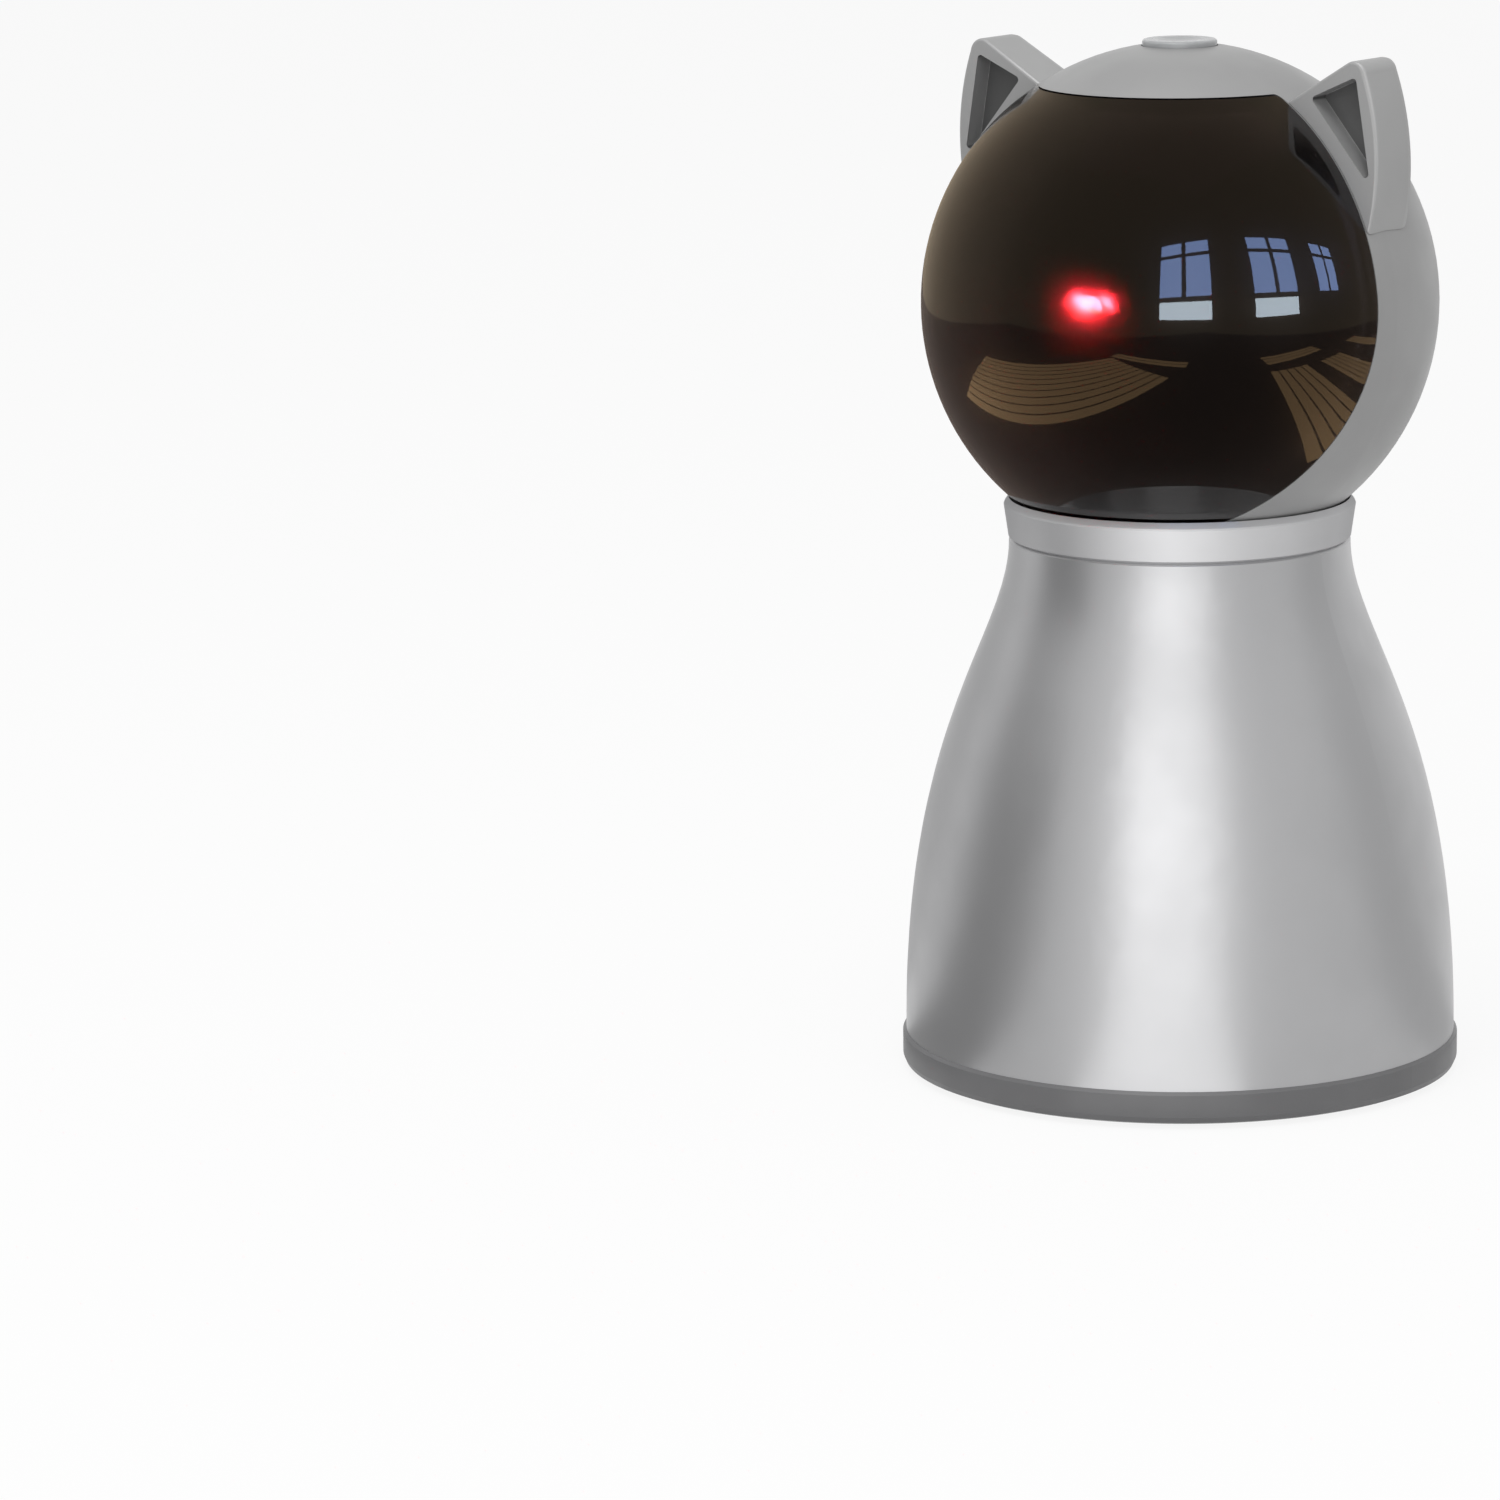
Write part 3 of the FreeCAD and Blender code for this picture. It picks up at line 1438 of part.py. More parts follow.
def laser_cradle():
    """Split clamp round the barrel with a boss on each side for a tilt pin."""
    tube = disc(cradle_r, -cradle_back, cradle_front)
    bosses = rod(cradle_side_r, V(-cradle_side, 0, 0), V(1, 0, 0), 2 * cradle_side)
    bosses = bosses.common(disc(cradle_side + cradle_r, -cradle_back, cradle_front))
    lug_y = cradle_r - lug_root
    mid = (cradle_front - cradle_back) / 2
    lug = block(-lug_w / 2, lug_w / 2, lug_y, lug_y + lug_h, mid - lug_len / 2, mid + lug_len / 2)
    body = join([tube, bosses, lug]).cut(disc(barrel_r + bore_gap, -cradle_back, cradle_front))
    slot = block(-clamp_slot / 2, clamp_slot / 2, 0, lug_y + lug_h, -cradle_back, cradle_front)
    body = body.cut(slot)
    for side in (-1, 1):
        start = V(side * cradle_side, 0, 0)
        body = body.cut(rod(pin_r + bore_gap, start, V(-side, 0, 0), cradle_side - barrel_r))
    seat = cradle_screw_seat()
    return aimed(body.cut(pilot(seat, V(1, 0, 0), lug_w, True)))


def cradle_screw_seat():
    """Point on the left of the clamp's lug that the screw's head sits on, clear of the tube."""
    return -lug_w / 2, cradle_r + small_head_r + lug_seat_gap, (cradle_front - cradle_back) / 2


def cradle_screw():
    """Screw that closes the clamp round the barrel."""
    return aimed(screw(cradle_screw_seat(), V(1, 0, 0), lug_w, True))


def tilt_pins():
    """Two steel pins pressed in the cradle; the right one carries the gear."""
    inner = barrel_r + pin_barrel_gap
    outer = arm_out + pin_end
    left = rod(pin_r, V(-outer, pivot_y, z_pivot), V(1, 0, 0), outer - inner)
    right = rod(pin_r, V(inner, pivot_y, z_pivot), V(1, 0, 0), tilt_gear_x + tilt_face - inner)
    return group([left, right])


def laser_barrel():
    """Turned brass tube with a floor at its back for the diode."""
    barrel = disc(barrel_r, -barrel_back, barrel_front)
    rims = [e for e in barrel.Edges if isinstance(e.Curve, Part.Circle)]
    barrel = barrel.makeChamfer(barrel_edge, rims)
    barrel = barrel.cut(disc(barrel_bore_r, -barrel_back + barrel_floor, barrel_front))
    return aimed(barrel.cut(disc(barrel_lead_r, -barrel_back, -barrel_back + barrel_floor)))


def laser_diode():
    """Round diode on the floor of the barrel."""
    z0 = -barrel_back + barrel_floor
    flange = disc(diode_r, z0, z0 + diode_flange_t)
    return aimed(join([flange, disc(diode_can_r, z0, z0 + diode_flange_t + diode_can_len)]))


def lens_nut():
    """Fluted focusing ring screwed in the front of the barrel."""
    z0 = barrel_front
    z1 = barrel_front + nut_len
    grip = disc(nut_r, z0, z1)
    grip = grip.makeChamfer(nut_edge, [e for e in grip.Edges if on_circle(e, nut_r, z1)])
    for x, y in around(nut_flutes, nut_r, 0.0):
        grip = grip.cut(disc(nut_flute_r, z0, z1, x, y))
    stub = disc(barrel_bore_r - nut_stub_gap, z0 - nut_stub_len, z0)
    nut = join([grip, stub])
    nut = nut.cut(disc(lens_r + lens_gap, z0 - nut_stub_len, z1 - nut_lip_t))
    return aimed(nut.cut(disc(aperture_r, z1 - nut_lip_t, z1)))


def laser_lens():
    """Small lens, flat at the back and bulged in front."""
    z1 = barrel_front + nut_len - nut_lip_t - lens_bulge
    z0 = z1 - lens_t
    sag = (lens_r ** 2 + lens_bulge ** 2) / (2 * lens_bulge)
    cap = Part.makeSphere(sag, V(0, 0, z1 + lens_bulge - sag)).common(disc(lens_r, z0, z1 + lens_bulge))
    return aimed(cap)


def laser_board():
    """Driver board behind the barrel with two small parts."""
    z1 = -barrel_back
    z0 = z1 - pcb_t
    plate = disc(pcb_r, z0, z1)
    driver = block(*driver_edges, z0 - driver_h, z0)
    resistor = block(*resistor_edges, z0 - resistor_h, z0)
    return aimed(join([plate, driver, resistor]))


builders = [
    base_cover, rubber_feet, base_screws, body_shell, battery_cell, cell_clamp, clamp_screws,
    main_board, board_parts, board_screws, charge_socket, neck_collar, neck_screws,
    head_shell, visor, left_ear, right_ear, ear_screws,
    power_button, switch_plunger, mode_switch, button_board, button_board_screws, indicator_led,
    mechanism_deck, deck_screws, pan_bush, pan_gear, pan_gear_screw, pan_motor, pan_motor_clamp,
    pan_clamp_screws, pan_shaft, pan_pinion,
    yoke, tilt_motor, tilt_motor_strap, tilt_strap_screw, tilt_shaft, tilt_pinion, tilt_gear,
    laser_cradle, cradle_screw, tilt_pins, laser_barrel, laser_diode, lens_nut, laser_lens, laser_board,
]

os.makedirs("parts", exist_ok=True)
for builder in builders:
    shape = builder()
    name = builder.__name__
    shape.exportStep(os.path.join("parts", name + ".step"))
    print(name, len(shape.Solids), "solids", round(shape.Volume, 1), "mm3", shape.isValid())
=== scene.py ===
import math

import bmesh
import bpy
from bpy.props import FloatProperty, FloatVectorProperty, PointerProperty
from bpy.types import Operator, Panel, PropertyGroup
from mathutils import Matrix, Vector


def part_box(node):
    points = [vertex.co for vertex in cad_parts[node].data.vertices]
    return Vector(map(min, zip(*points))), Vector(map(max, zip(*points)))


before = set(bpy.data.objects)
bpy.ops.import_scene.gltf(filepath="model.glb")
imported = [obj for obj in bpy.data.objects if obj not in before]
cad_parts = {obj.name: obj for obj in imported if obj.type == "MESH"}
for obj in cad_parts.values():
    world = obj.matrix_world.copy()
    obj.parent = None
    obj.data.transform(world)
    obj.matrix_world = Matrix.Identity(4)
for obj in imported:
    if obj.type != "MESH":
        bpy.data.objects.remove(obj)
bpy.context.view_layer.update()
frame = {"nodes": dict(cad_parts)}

bl_info = {
    "name": "Automatic cat laser toy",
    "version": (1, 0, 0),
    "blender": (4, 5, 0),
    "location": "View3D > Sidebar > Laser Toy",
    "description": "Finishes the pieces of an automatic cat laser toy and lights them on a pale floor",
    "category": "Object",
}


# Colours and sizes that a user would change


def seen(r, g, b):
    """Colour as it looks on a screen, turned into the linear values that a shader takes."""
    return tuple(c / 12.92 if c <= 0.04045 else ((c + 0.055) / 1.055) ** 2.4 for c in (r, g, b))


def tint(name, description, r, g, b):
    """Colour property whose default is given as it looks on a screen."""
    return FloatVectorProperty(name=name, description=description, subtype="COLOR", size=3,
                               min=0.0, max=1.0, default=seen(r, g, b))


def length(name, description, metres):
    """Length property in metres."""
    return FloatProperty(name=name, description=description, unit="LENGTH", default=metres)


def turn(name, description, degrees):
    """Angle property."""
    return FloatProperty(name=name, description=description, subtype="ANGLE", default=math.radians(degrees))


def amount(name, description, value):
    """Plain number."""
    return FloatProperty(name=name, description=description, default=value)


class ToyColours(PropertyGroup):
    """Colours of the toy's finishes."""
    silver: tint("Silver", "Satin silver paint of the body", 0.66, 0.66, 0.665)
    collar: tint("Collar silver", "Duller silver paint of the neck collar", 0.745, 0.745, 0.75)
    edge: tint("Silver edge", "Tint of the collar's shine where it turns away", 0.62, 0.62, 0.62)
    shell: tint("Shell grey", "Satin grey paint of the head", 0.57, 0.57, 0.57)
    ear: tint("Ear grey", "Satin grey paint of the ears", 0.61, 0.61, 0.61)
    # Painted shade: not a paint of the ears, but a darker grey that stands in for the shade in the ear
    # pockets
    pocket_shade: tint("Ear pocket", "Darker paint in the pocket of each ear", 0.33, 0.33, 0.33)
    base: tint("Base grey", "Moulded plastic of the base", 0.38, 0.38, 0.385)
    smoke: tint("Smoke", "Tint of light that passes the visor", 0.17, 0.13, 0.12)
    haze: tint("Visor haze", "Tint of the soft shine under the visor's polish", 0.45, 0.40, 0.36)
    button: tint("Button white", "Translucent cap on the crown", 0.58, 0.585, 0.59)
    rubber: tint("Foot rubber", "Pads under the base", 0.09, 0.09, 0.09)
    steel: tint("Plated steel", "Screws, pins and shafts", 0.74, 0.74, 0.75)
    sleeve: tint("Cell sleeve", "Shrink sleeve of the cell", 0.10, 0.24, 0.50)
    board: tint("Board green", "Solder resist of the circuit boards", 0.05, 0.27, 0.13)
    chip: tint("Chip black", "Moulded parts on the boards", 0.06, 0.06, 0.065)
    frame: tint("Frame black", "Glass-filled plastic of the deck, yoke and clamps", 0.10, 0.10, 0.105)
    gear: tint("Gear white", "Natural acetal of the gears", 0.86, 0.85, 0.81)
    bronze: tint("Bronze", "Sintered bush and diode can", 0.66, 0.48, 0.28)
    brass: tint("Brass", "Turned barrel and lens ring", 0.80, 0.65, 0.36)
    motor: tint("Motor steel", "Drawn cans and plates of the motors", 0.66, 0.66, 0.67)
    nylon: tint("Nylon", "Cream clamps and straps", 0.82, 0.79, 0.68)
    laser: tint("Laser red", "Light round the middle of the laser's lens", 1.0, 0.20, 0.26)
    core: tint("Laser core", "Hottest light in the middle of the laser's lens", 1.0, 0.97, 0.97)


class ToySizes(PropertyGroup):
    """Sizes of the detail in the toy's finishes."""
    flake: length("Paint flake", "Size of the flakes in the silver paint", 0.00030)
    peel: length("Paint peel", "Size of the soft waves in a sprayed coat", 0.0016)
    mould: length("Mould grain", "Size of the grain on moulded plastic", 0.00045)
    cloud: length("Cloud", "Size of slow changes in gloss over a shell", 0.014)
    brush: length("Brush line", "Width of the lines on brushed or turned metal", 0.00018)
    glow: length("Glow", "Reach of the hottest light in the laser's lens", 0.0018)
    trace: length("Trace", "Distance between copper traces on a board", 0.0016)


class StageSizes(PropertyGroup):
    """Camera, floor and lights."""
    camera_turn: turn("Camera azimuth", "Where the camera stands round the toy", 35.0)
    camera_away: length("Camera distance", "From the toy's axis to the camera, level", 1.163)
    camera_high: length("Camera height", "Over the surface that the toy stands on", 0.29622)
    aim_turn: turn("Aim aside", "How far the camera looks to the left of the toy", 3.800)
    aim_down: turn("Aim down", "How far the camera looks down", 11.588)
    roll: turn("Camera roll", "Turn of the camera about its own axis", -0.746)
    lens: length("Lens", "Focal length on a sensor of 36 mm", 0.1584)
    floor: length("Floor", "Side of the floor", 14.0)
    ambient: amount("Ambient light", "Light from all round on dull surfaces", 0.62)
    band_wide: length("Band width", "Width of the softbox behind the camera", 1.3)
    band_glow: amount("Band glow", "How bright that softbox is against white", 1.3)
    top_wide: length("Top width", "Side of the softbox overhead", 0.9)
    top_glow: amount("Top glow", "How bright that softbox is against white", 2.4)
    band_card: amount("Band card", "How bright the card under that softbox is against white", 2.0)


class RoomSizes(PropertyGroup):
    """Daylit room that only the visor mirrors: a wall of windows and sun on a plank floor."""
    wall_turn: turn("Wall azimuth", "Where the window wall stands round the toy", 53.5)
    wall_away: length("Wall distance", "From the toy to the window wall", 1.5)
    sill: length("Sill", "Height of the window sills", 0.125)
    window_wide: length("Window width", "Width of each window", 0.65)
    window_high: length("Window height", "Height of each window", 1.02)
    window_apart: length("Window spacing", "From one window to the next", 1.16)
    first_window: length("First window", "Middle of the left window along the wall", -0.444)
    sky: tint("Sky", "Sky in the upper panes", 0.35, 0.42, 0.57)
    horizon: tint("Horizon", "Bright sky in the lowest pane", 0.62, 0.67, 0.71)
    planks: tint("Planks", "Sunlit floor boards", 0.24, 0.19, 0.125)
    walls: tint("Walls", "Dim walls", 0.56, 0.51, 0.44)
    ceiling: tint("Ceiling", "Dim ceiling", 0.58, 0.52, 0.46)
    ground: tint("Ground", "Floor boards out of the sun", 0.38, 0.34, 0.32)
    daylight: amount("Daylight", "How much brighter the room is than what the visor shows of it", 24.0)


# Material kit


class Finish:
    """A principled material whose colour, gloss and surface are varied by textures on Object coordinates."""

    def __init__(self, name, colour, roughness, metallic=0.0):
        self.material = bpy.data.materials.new(name)
        self.material.use_nodes = True
        self.nodes = self.material.node_tree.nodes
        self.links = self.material.node_tree.links
        self.shader = self.nodes["Principled BSDF"]
        self.set(Base_Color=(*colour, 1.0), Roughness=roughness, Metallic=metallic)
        self.where = self.nodes.new("ShaderNodeTexCoord").outputs["Object"]

    def set(self, **sockets):
        """Constant values on the shader's own sockets."""
        for name, value in sockets.items():
            self.shader.inputs[name.replace("_", " ")].default_value = value
        return self

    def noise(self, size, stretch=(1.0, 1.0, 1.0), detail=2.0):
        """Noise whose lumps have a real size, drawn out along the axes."""
        mapping = self.nodes.new("ShaderNodeMapping")
        mapping.inputs["Scale"].default_value = [1.0 / (size * s) for s in stretch]
        self.links.new(self.where, mapping.inputs["Vector"])
        texture = self.nodes.new("ShaderNodeTexNoise")
        texture.inputs["Scale"].default_value = 1.0
        texture.inputs["Detail"].default_value = detail
        self.links.new(mapping.outputs["Vector"], texture.inputs["Vector"])
        return texture.outputs["Fac"]

    def ranged(self, value, low, high, start=0.35, end=0.65):
        """A texture's middle range, spread between two values."""
        node = self.nodes.new("ShaderNodeMapRange")
        node.inputs["From Min"].default_value = start
        node.inputs["From Max"].default_value = end
        node.inputs["To Min"].default_value = low
        node.inputs["To Max"].default_value = high
        self.links.new(value, node.inputs["Value"])
        return node.outputs["Result"]

    def relief(self, value, depth):
        """Bump of a real depth, over any that is there."""
        bump = self.nodes.new("ShaderNodeBump")
        bump.inputs["Strength"].default_value = 1.0
        bump.inputs["Distance"].default_value = depth
        self.links.new(value, bump.inputs["Height"])
        normal = self.shader.inputs["Normal"]
        if normal.is_linked:
            self.links.new(normal.links[0].from_socket, bump.inputs["Normal"])
        self.links.new(bump.outputs["Normal"], normal)
        return self

    def grain(self, size, depth, stretch=(1.0, 1.0, 1.0)):
        """Fine relief all over."""
        return self.relief(self.noise(size, stretch), depth)

    def gloss(self, low, high, size, stretch=(1.0, 1.0, 1.0)):
        """Roughness that wanders between two values."""
        varied = self.ranged(self.noise(size, stretch), low, high)
        self.links.new(varied, self.shader.inputs["Roughness"])
        return self

    def blend(self, factor, colour, socket="Base Color"):
        """Another colour, mixed over the one that is there."""
        mix = self.nodes.new("ShaderNodeMix")
        mix.data_type = "RGBA"
        first, second = [s for s in mix.inputs if s.type == "RGBA"]
        base = self.shader.inputs[socket]
        if base.is_linked:
            self.links.new(base.links[0].from_socket, first)
        else:
            first.default_value = base.default_value
        second.default_value = (*colour, 1.0)
        self.links.new(factor, mix.inputs["Factor"])
        result = [s for s in mix.outputs if s.type == "RGBA"][0]
        self.links.new(result, base)
        return self

    def combine(self, operation, first, second):
        """Two values, put together."""
        node = self.nodes.new("ShaderNodeMath")
        node.operation = operation
        self.links.new(first, node.inputs[0])
        if isinstance(second, float):
            node.inputs[1].default_value = second
        else:
            self.links.new(second, node.inputs[1])
        return node.outputs[0]

    def away_from(self, spot):
        """Distance from a point."""
        node = self.nodes.new("ShaderNodeVectorMath")
        node.operation = "DISTANCE"
        node.inputs[1].default_value = spot
        self.links.new(self.where, node.inputs[0])
        return node.outputs["Value"]

    def within(self, corners, front, back):
        """1 inside a three-cornered prism along Y that is the same on both sides of the toy."""
        split = self.nodes.new("ShaderNodeSeparateXYZ")
        self.links.new(self.where, split.inputs[0])
        across = self.nodes.new("ShaderNodeMath")
        across.operation = "ABSOLUTE"
        self.links.new(split.outputs["X"], across.inputs[0])
        deep = split.outputs["Y"]
        past_front = self.ranged(deep, 0.0, 1.0, front, front + POCKET_BLUR)
        before_back = self.ranged(deep, 1.0, 0.0, back, back + POCKET_BLUR)
        inside = self.combine("MULTIPLY", past_front, before_back)
        for i in range(3):
            (x0, z0), (x1, z1) = corners[i - 1], corners[i]
            way = Vector((z1 - z0, x0 - x1)).normalized()
            sideways = self.combine("MULTIPLY", across.outputs[0], way.x)
            upward = self.combine("MULTIPLY", split.outputs["Z"], way.y)
            along = self.combine("ADD", sideways, upward)
            edge = way.x * x0 + way.y * z0
            side = self.ranged(along, 0.0, 1.0, edge, edge + POCKET_BLUR)
            inside = self.combine("MULTIPLY", inside, side)
        return inside

    def mottle(self, shade, size, stretch=(1.0, 1.0, 1.0)):
        """Patches of the same colour, made lighter or darker."""
        r, g, b = self.shader.inputs["Base Color"].default_value[:3]
        return self.blend(self.ranged(self.noise(size, stretch), 0.0, 1.0), (r * shade, g * shade, b * shade))

    def dress(self, *names):
        """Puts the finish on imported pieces."""
        for name in names:
            for slot in frame["nodes"][name].material_slots:
                slot.material = self.material


# Outer pieces


class TOY_OT_finish_base(Operator):
    """Base of textured plastic and its rubber feet"""
    bl_idname = "toy.finish_base"
    bl_label = "Base and feet"

    def execute(self, context):
        colours = context.scene.toy_colours
        sizes = context.scene.toy_sizes
        base = Finish("moulded_base_grey", colours.base, 0.42)
        base.set(Specular_IOR_Level=0.45).mottle(0.93, sizes.cloud).gloss(0.38, 0.47, sizes.cloud)
        base.grain(sizes.mould, 0.000006).dress("base_cover")
        rubber = Finish("foot_rubber", colours.rubber, 0.8)
        rubber.set(Specular_IOR_Level=0.3).mottle(1.5, 0.004).grain(0.0006, 0.00003).dress("rubber_feet")
        return {"FINISHED"}


class TOY_OT_finish_body(Operator):
    """Satin silver paint on the bell-shaped body and the neck collar"""
    bl_idname = "toy.finish_body"
    bl_label = "Body and collar"

    def execute(self, context):
        colours = context.scene.toy_colours
        sizes = context.scene.toy_sizes
        silver = Finish("satin_silver_paint", colours.silver, 0.36, 0.85)
        silver.mottle(0.97, sizes.cloud).gloss(0.33, 0.38, sizes.cloud)
        silver.grain(sizes.flake, 0.0000012).grain(sizes.peel, 0.0000015)
        silver.dress("body_shell")
        collar = Finish("satin_silver_collar", colours.collar, 0.53, 0.85)
        collar.set(Specular_Tint=(*colours.edge, 1.0))
        collar.mottle(0.97, sizes.cloud).gloss(0.50, 0.56, sizes.cloud)
        collar.grain(sizes.flake, 0.0000012).grain(sizes.peel, 0.0000015)
        collar.dress("neck_collar")
        return {"FINISHED"}


# Pocket of the right ear, where shade is painted: corners across and up, and the depths between which its
# grey is painted darker as shade
POCKET_CORNERS = ((0.03103, 0.17658), (0.04035, 0.18062), (0.04345, 0.16170))
POCKET_FRONT = -0.00505
POCKET_BACK = -0.0008
POCKET_BLUR = 0.00015


class TOY_OT_finish_head(Operator):
    """Satin grey paint on the head shell and both ears, with shade painted into the ear pockets"""
    bl_idname = "toy.finish_head"
    bl_label = "Head and ears"

    def execute(self, context):
        colours = context.scene.toy_colours
        sizes = context.scene.toy_sizes
        grey = Finish("satin_grey_paint", colours.shell, 0.45, 0.25)
        grey.mottle(0.97, sizes.cloud).gloss(0.42, 0.5, sizes.cloud)
        grey.grain(sizes.flake, 0.0000015).grain(sizes.peel, 0.0000015)
        grey.dress("head_shell")
        ears = Finish("satin_grey_ears", colours.ear, 0.45, 0.25)
        ears.mottle(0.97, sizes.cloud).gloss(0.42, 0.5, sizes.cloud)
        ears.grain(sizes.flake, 0.0000015).grain(sizes.peel, 0.0000015)
        # Painted shade: the ears' grey is darkened inside their pockets, in place of the shade that falls
        # there
        ears.blend(ears.within(POCKET_CORNERS, POCKET_FRONT, POCKET_BACK), colours.pocket_shade)
        ears.dress("left_ear", "right_ear")
        return {"FINISHED"}


class TOY_OT_finish_visor(Operator):
    """Smoked, polished front of the globe that lets the laser's light through"""
    bl_idname = "toy.finish_visor"
    bl_label = "Visor"

    def execute(self, context):
        colours = context.scene.toy_colours
        sizes = context.scene.toy_sizes
        smoke = Finish("smoked_polished_visor", colours.smoke, 0.3)
        smoke.set(Transmission_Weight=1.0, IOR=1.33, Specular_Tint=(*colours.haze, 1.0))
        smoke.set(Coat_Weight=1.0, Coat_Roughness=0.01, Coat_IOR=1.45, Alpha=0.94)
        smoke.mottle(0.9, sizes.cloud).gloss(0.28, 0.32, sizes.cloud).grain(0.02, 0.000003)
        smoke.dress("visor")
        return {"FINISHED"}


class TOY_OT_finish_button(Operator):
    """Translucent white cap on the crown and the lamp under it"""
    bl_idname = "toy.finish_button"
    bl_label = "Button"

    def execute(self, context):
        colours = context.scene.toy_colours
        sizes = context.scene.toy_sizes
        cap = Finish("translucent_white_cap", colours.button, 0.28)
        cap.set(Subsurface_Weight=0.4, Subsurface_Radius=(0.004, 0.004, 0.004), Subsurface_Scale=1.0)
        cap.mottle(0.96, sizes.cloud).gloss(0.24, 0.34, sizes.cloud).grain(sizes.peel, 0.000002)
        cap.dress("power_button")
        lamp = Finish("lamp_resin", colours.button, 0.15)
        lamp.set(Emission_Color=(*colours.button, 1.0), Emission_Strength=1.5)
        lamp.mottle(0.9, 0.002).gloss(0.1, 0.2, 0.002).dress("indicator_led")
        return {"FINISHED"}


# Inner pieces


class TOY_OT_finish_fasteners(Operator):
    """Zinc plated screws, pins, shafts and the charging socket"""
    bl_idname = "toy.finish_fasteners"
    bl_label = "Screws, pins and shafts"

    def execute(self, context):
        colours = context.scene.toy_colours
        sizes = context.scene.toy_sizes
        steel = Finish("zinc_plated_steel", colours.steel, 0.3, 1.0)
        steel.mottle(0.85, 0.003).gloss(0.22, 0.38, 0.0015).grain(sizes.brush, 0.000002)
        names = [n for n in frame["nodes"] if n.endswith(("screw", "screws", "shaft", "pins"))]
        steel.dress(*names, "charge_socket", "mode_switch")
        return {"FINISHED"}


class TOY_OT_finish_power(Operator):
    """Cell in its shrink sleeve, circuit boards and their parts"""
    bl_idname = "toy.finish_power"
    bl_label = "Cell and boards"

    def execute(self, context):
        colours = context.scene.toy_colours
        sizes = context.scene.toy_sizes
        sleeve = Finish("shrink_sleeve", colours.sleeve, 0.25)
        sleeve.mottle(0.8, 0.006).gloss(0.18, 0.33, 0.004).grain(0.003, 0.00003, (0.3, 1.0, 1.0))
        sleeve.dress("battery_cell")
        board = Finish("solder_resist_green", colours.board, 0.35)
        board.blend(board.ranged(board.noise(sizes.trace, (8.0, 1.0, 1.0)), 0.0, 0.6, 0.48, 0.52),
                    seen(0.12, 0.38, 0.20))
        board.gloss(0.28, 0.42, 0.003).grain(sizes.trace, 0.00002, (8.0, 1.0, 1.0))
        board.dress("main_board", "button_board", "laser_board")
        chip = Finish("moulded_chips", colours.chip, 0.5)
        chip.mottle(1.6, 0.002).grain(0.0003, 0.000008).dress("board_parts")
        return {"FINISHED"}


class TOY_OT_finish_mechanism(Operator):
    """Black plastic frame parts, acetal gears, bronze bush and cream clamps"""
    bl_idname = "toy.finish_mechanism"
    bl_label = "Deck, yoke and gears"

    def execute(self, context):
        colours = context.scene.toy_colours
        sizes = context.scene.toy_sizes
        black = Finish("glass_filled_black", colours.frame, 0.5)
        black.mottle(1.4, 0.0012, (3.0, 1.0, 1.0)).gloss(0.42, 0.6, 0.003).grain(sizes.mould, 0.00001)
        black.dress("cell_clamp", "mechanism_deck", "yoke", "laser_cradle", "switch_plunger")
        acetal = Finish("natural_acetal", colours.gear, 0.38)
        acetal.set(Subsurface_Weight=0.2, Subsurface_Radius=(0.002, 0.002, 0.0015), Subsurface_Scale=1.0)
        acetal.mottle(0.94, 0.005).gloss(0.32, 0.45, 0.002).grain(sizes.mould, 0.000004)
        acetal.dress("pan_gear", "pan_pinion", "tilt_gear", "tilt_pinion")
        bronze = Finish("sintered_bronze", colours.bronze, 0.45, 0.9)
        bronze.mottle(0.75, 0.0009).grain(0.0004, 0.000012).dress("pan_bush", "laser_diode")
        nylon = Finish("cream_nylon", colours.nylon, 0.4)
        nylon.mottle(0.93, 0.006).gloss(0.34, 0.48, 0.003).grain(sizes.mould, 0.000006)
        nylon.dress("pan_motor_clamp", "tilt_motor_strap")
        can = Finish("drawn_motor_steel", colours.motor, 0.3, 1.0)
        can.mottle(0.88, 0.004).gloss(0.22, 0.4, 0.002, (1.0, 1.0, 6.0))
        can.grain(sizes.brush, 0.000002, (1.0, 1.0, 12.0))
        can.dress("pan_motor", "tilt_motor")
        return {"FINISHED"}


# How bright the lens is at its middle and at its rim
LENS_CORE_GLOW = 9000.0
LENS_RIM_GLOW = 3000.0


class TOY_OT_finish_laser(Operator):
    """Turned brass barrel and ring round a lens that glows red"""
    bl_idname = "toy.finish_laser"
    bl_label = "Laser"

    def execute(self, context):
        colours = context.scene.toy_colours
        sizes = context.scene.toy_sizes
        brass = Finish("turned_brass", colours.brass, 0.28, 1.0)
        brass.mottle(0.85, 0.004).gloss(0.2, 0.36, 0.0008).grain(sizes.brush, 0.000003)
        brass.dress("laser_barrel", "lens_nut")
        lens = Finish("lens_lit_red", colours.laser, 0.05)
        lens.set(Emission_Color=(*colours.laser, 1.0))
        low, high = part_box("laser_lens")
        middle = (Vector(low) + Vector(high)) / 2
        away = lens.away_from(middle)
        glow = lens.ranged(away, LENS_CORE_GLOW, LENS_RIM_GLOW, 0.0, sizes.glow)
        lens.links.new(glow, lens.shader.inputs["Emission Strength"])
        lens.blend(lens.ranged(away, 1.0, 0.0, 0.0, sizes.glow / 2), colours.core, "Emission Color")
        lens.mottle(0.8, 0.0008).gloss(0.03, 0.1, 0.0008).dress("laser_lens")
        return {"FINISHED"}


# Stage


def rays(tree, *kinds):
    """One factor that is 1 for rays of any of these kinds."""
    path = tree.nodes.new("ShaderNodeLightPath")
    total = path.outputs[kinds[0]]
    for kind in kinds[1:]:
        highest = tree.nodes.new("ShaderNodeMath")
        highest.operation = "MAXIMUM"
        tree.links.new(total, highest.inputs[0])
        tree.links.new(path.outputs[kind], highest.inputs[1])
        total = highest.outputs[0]
    return total


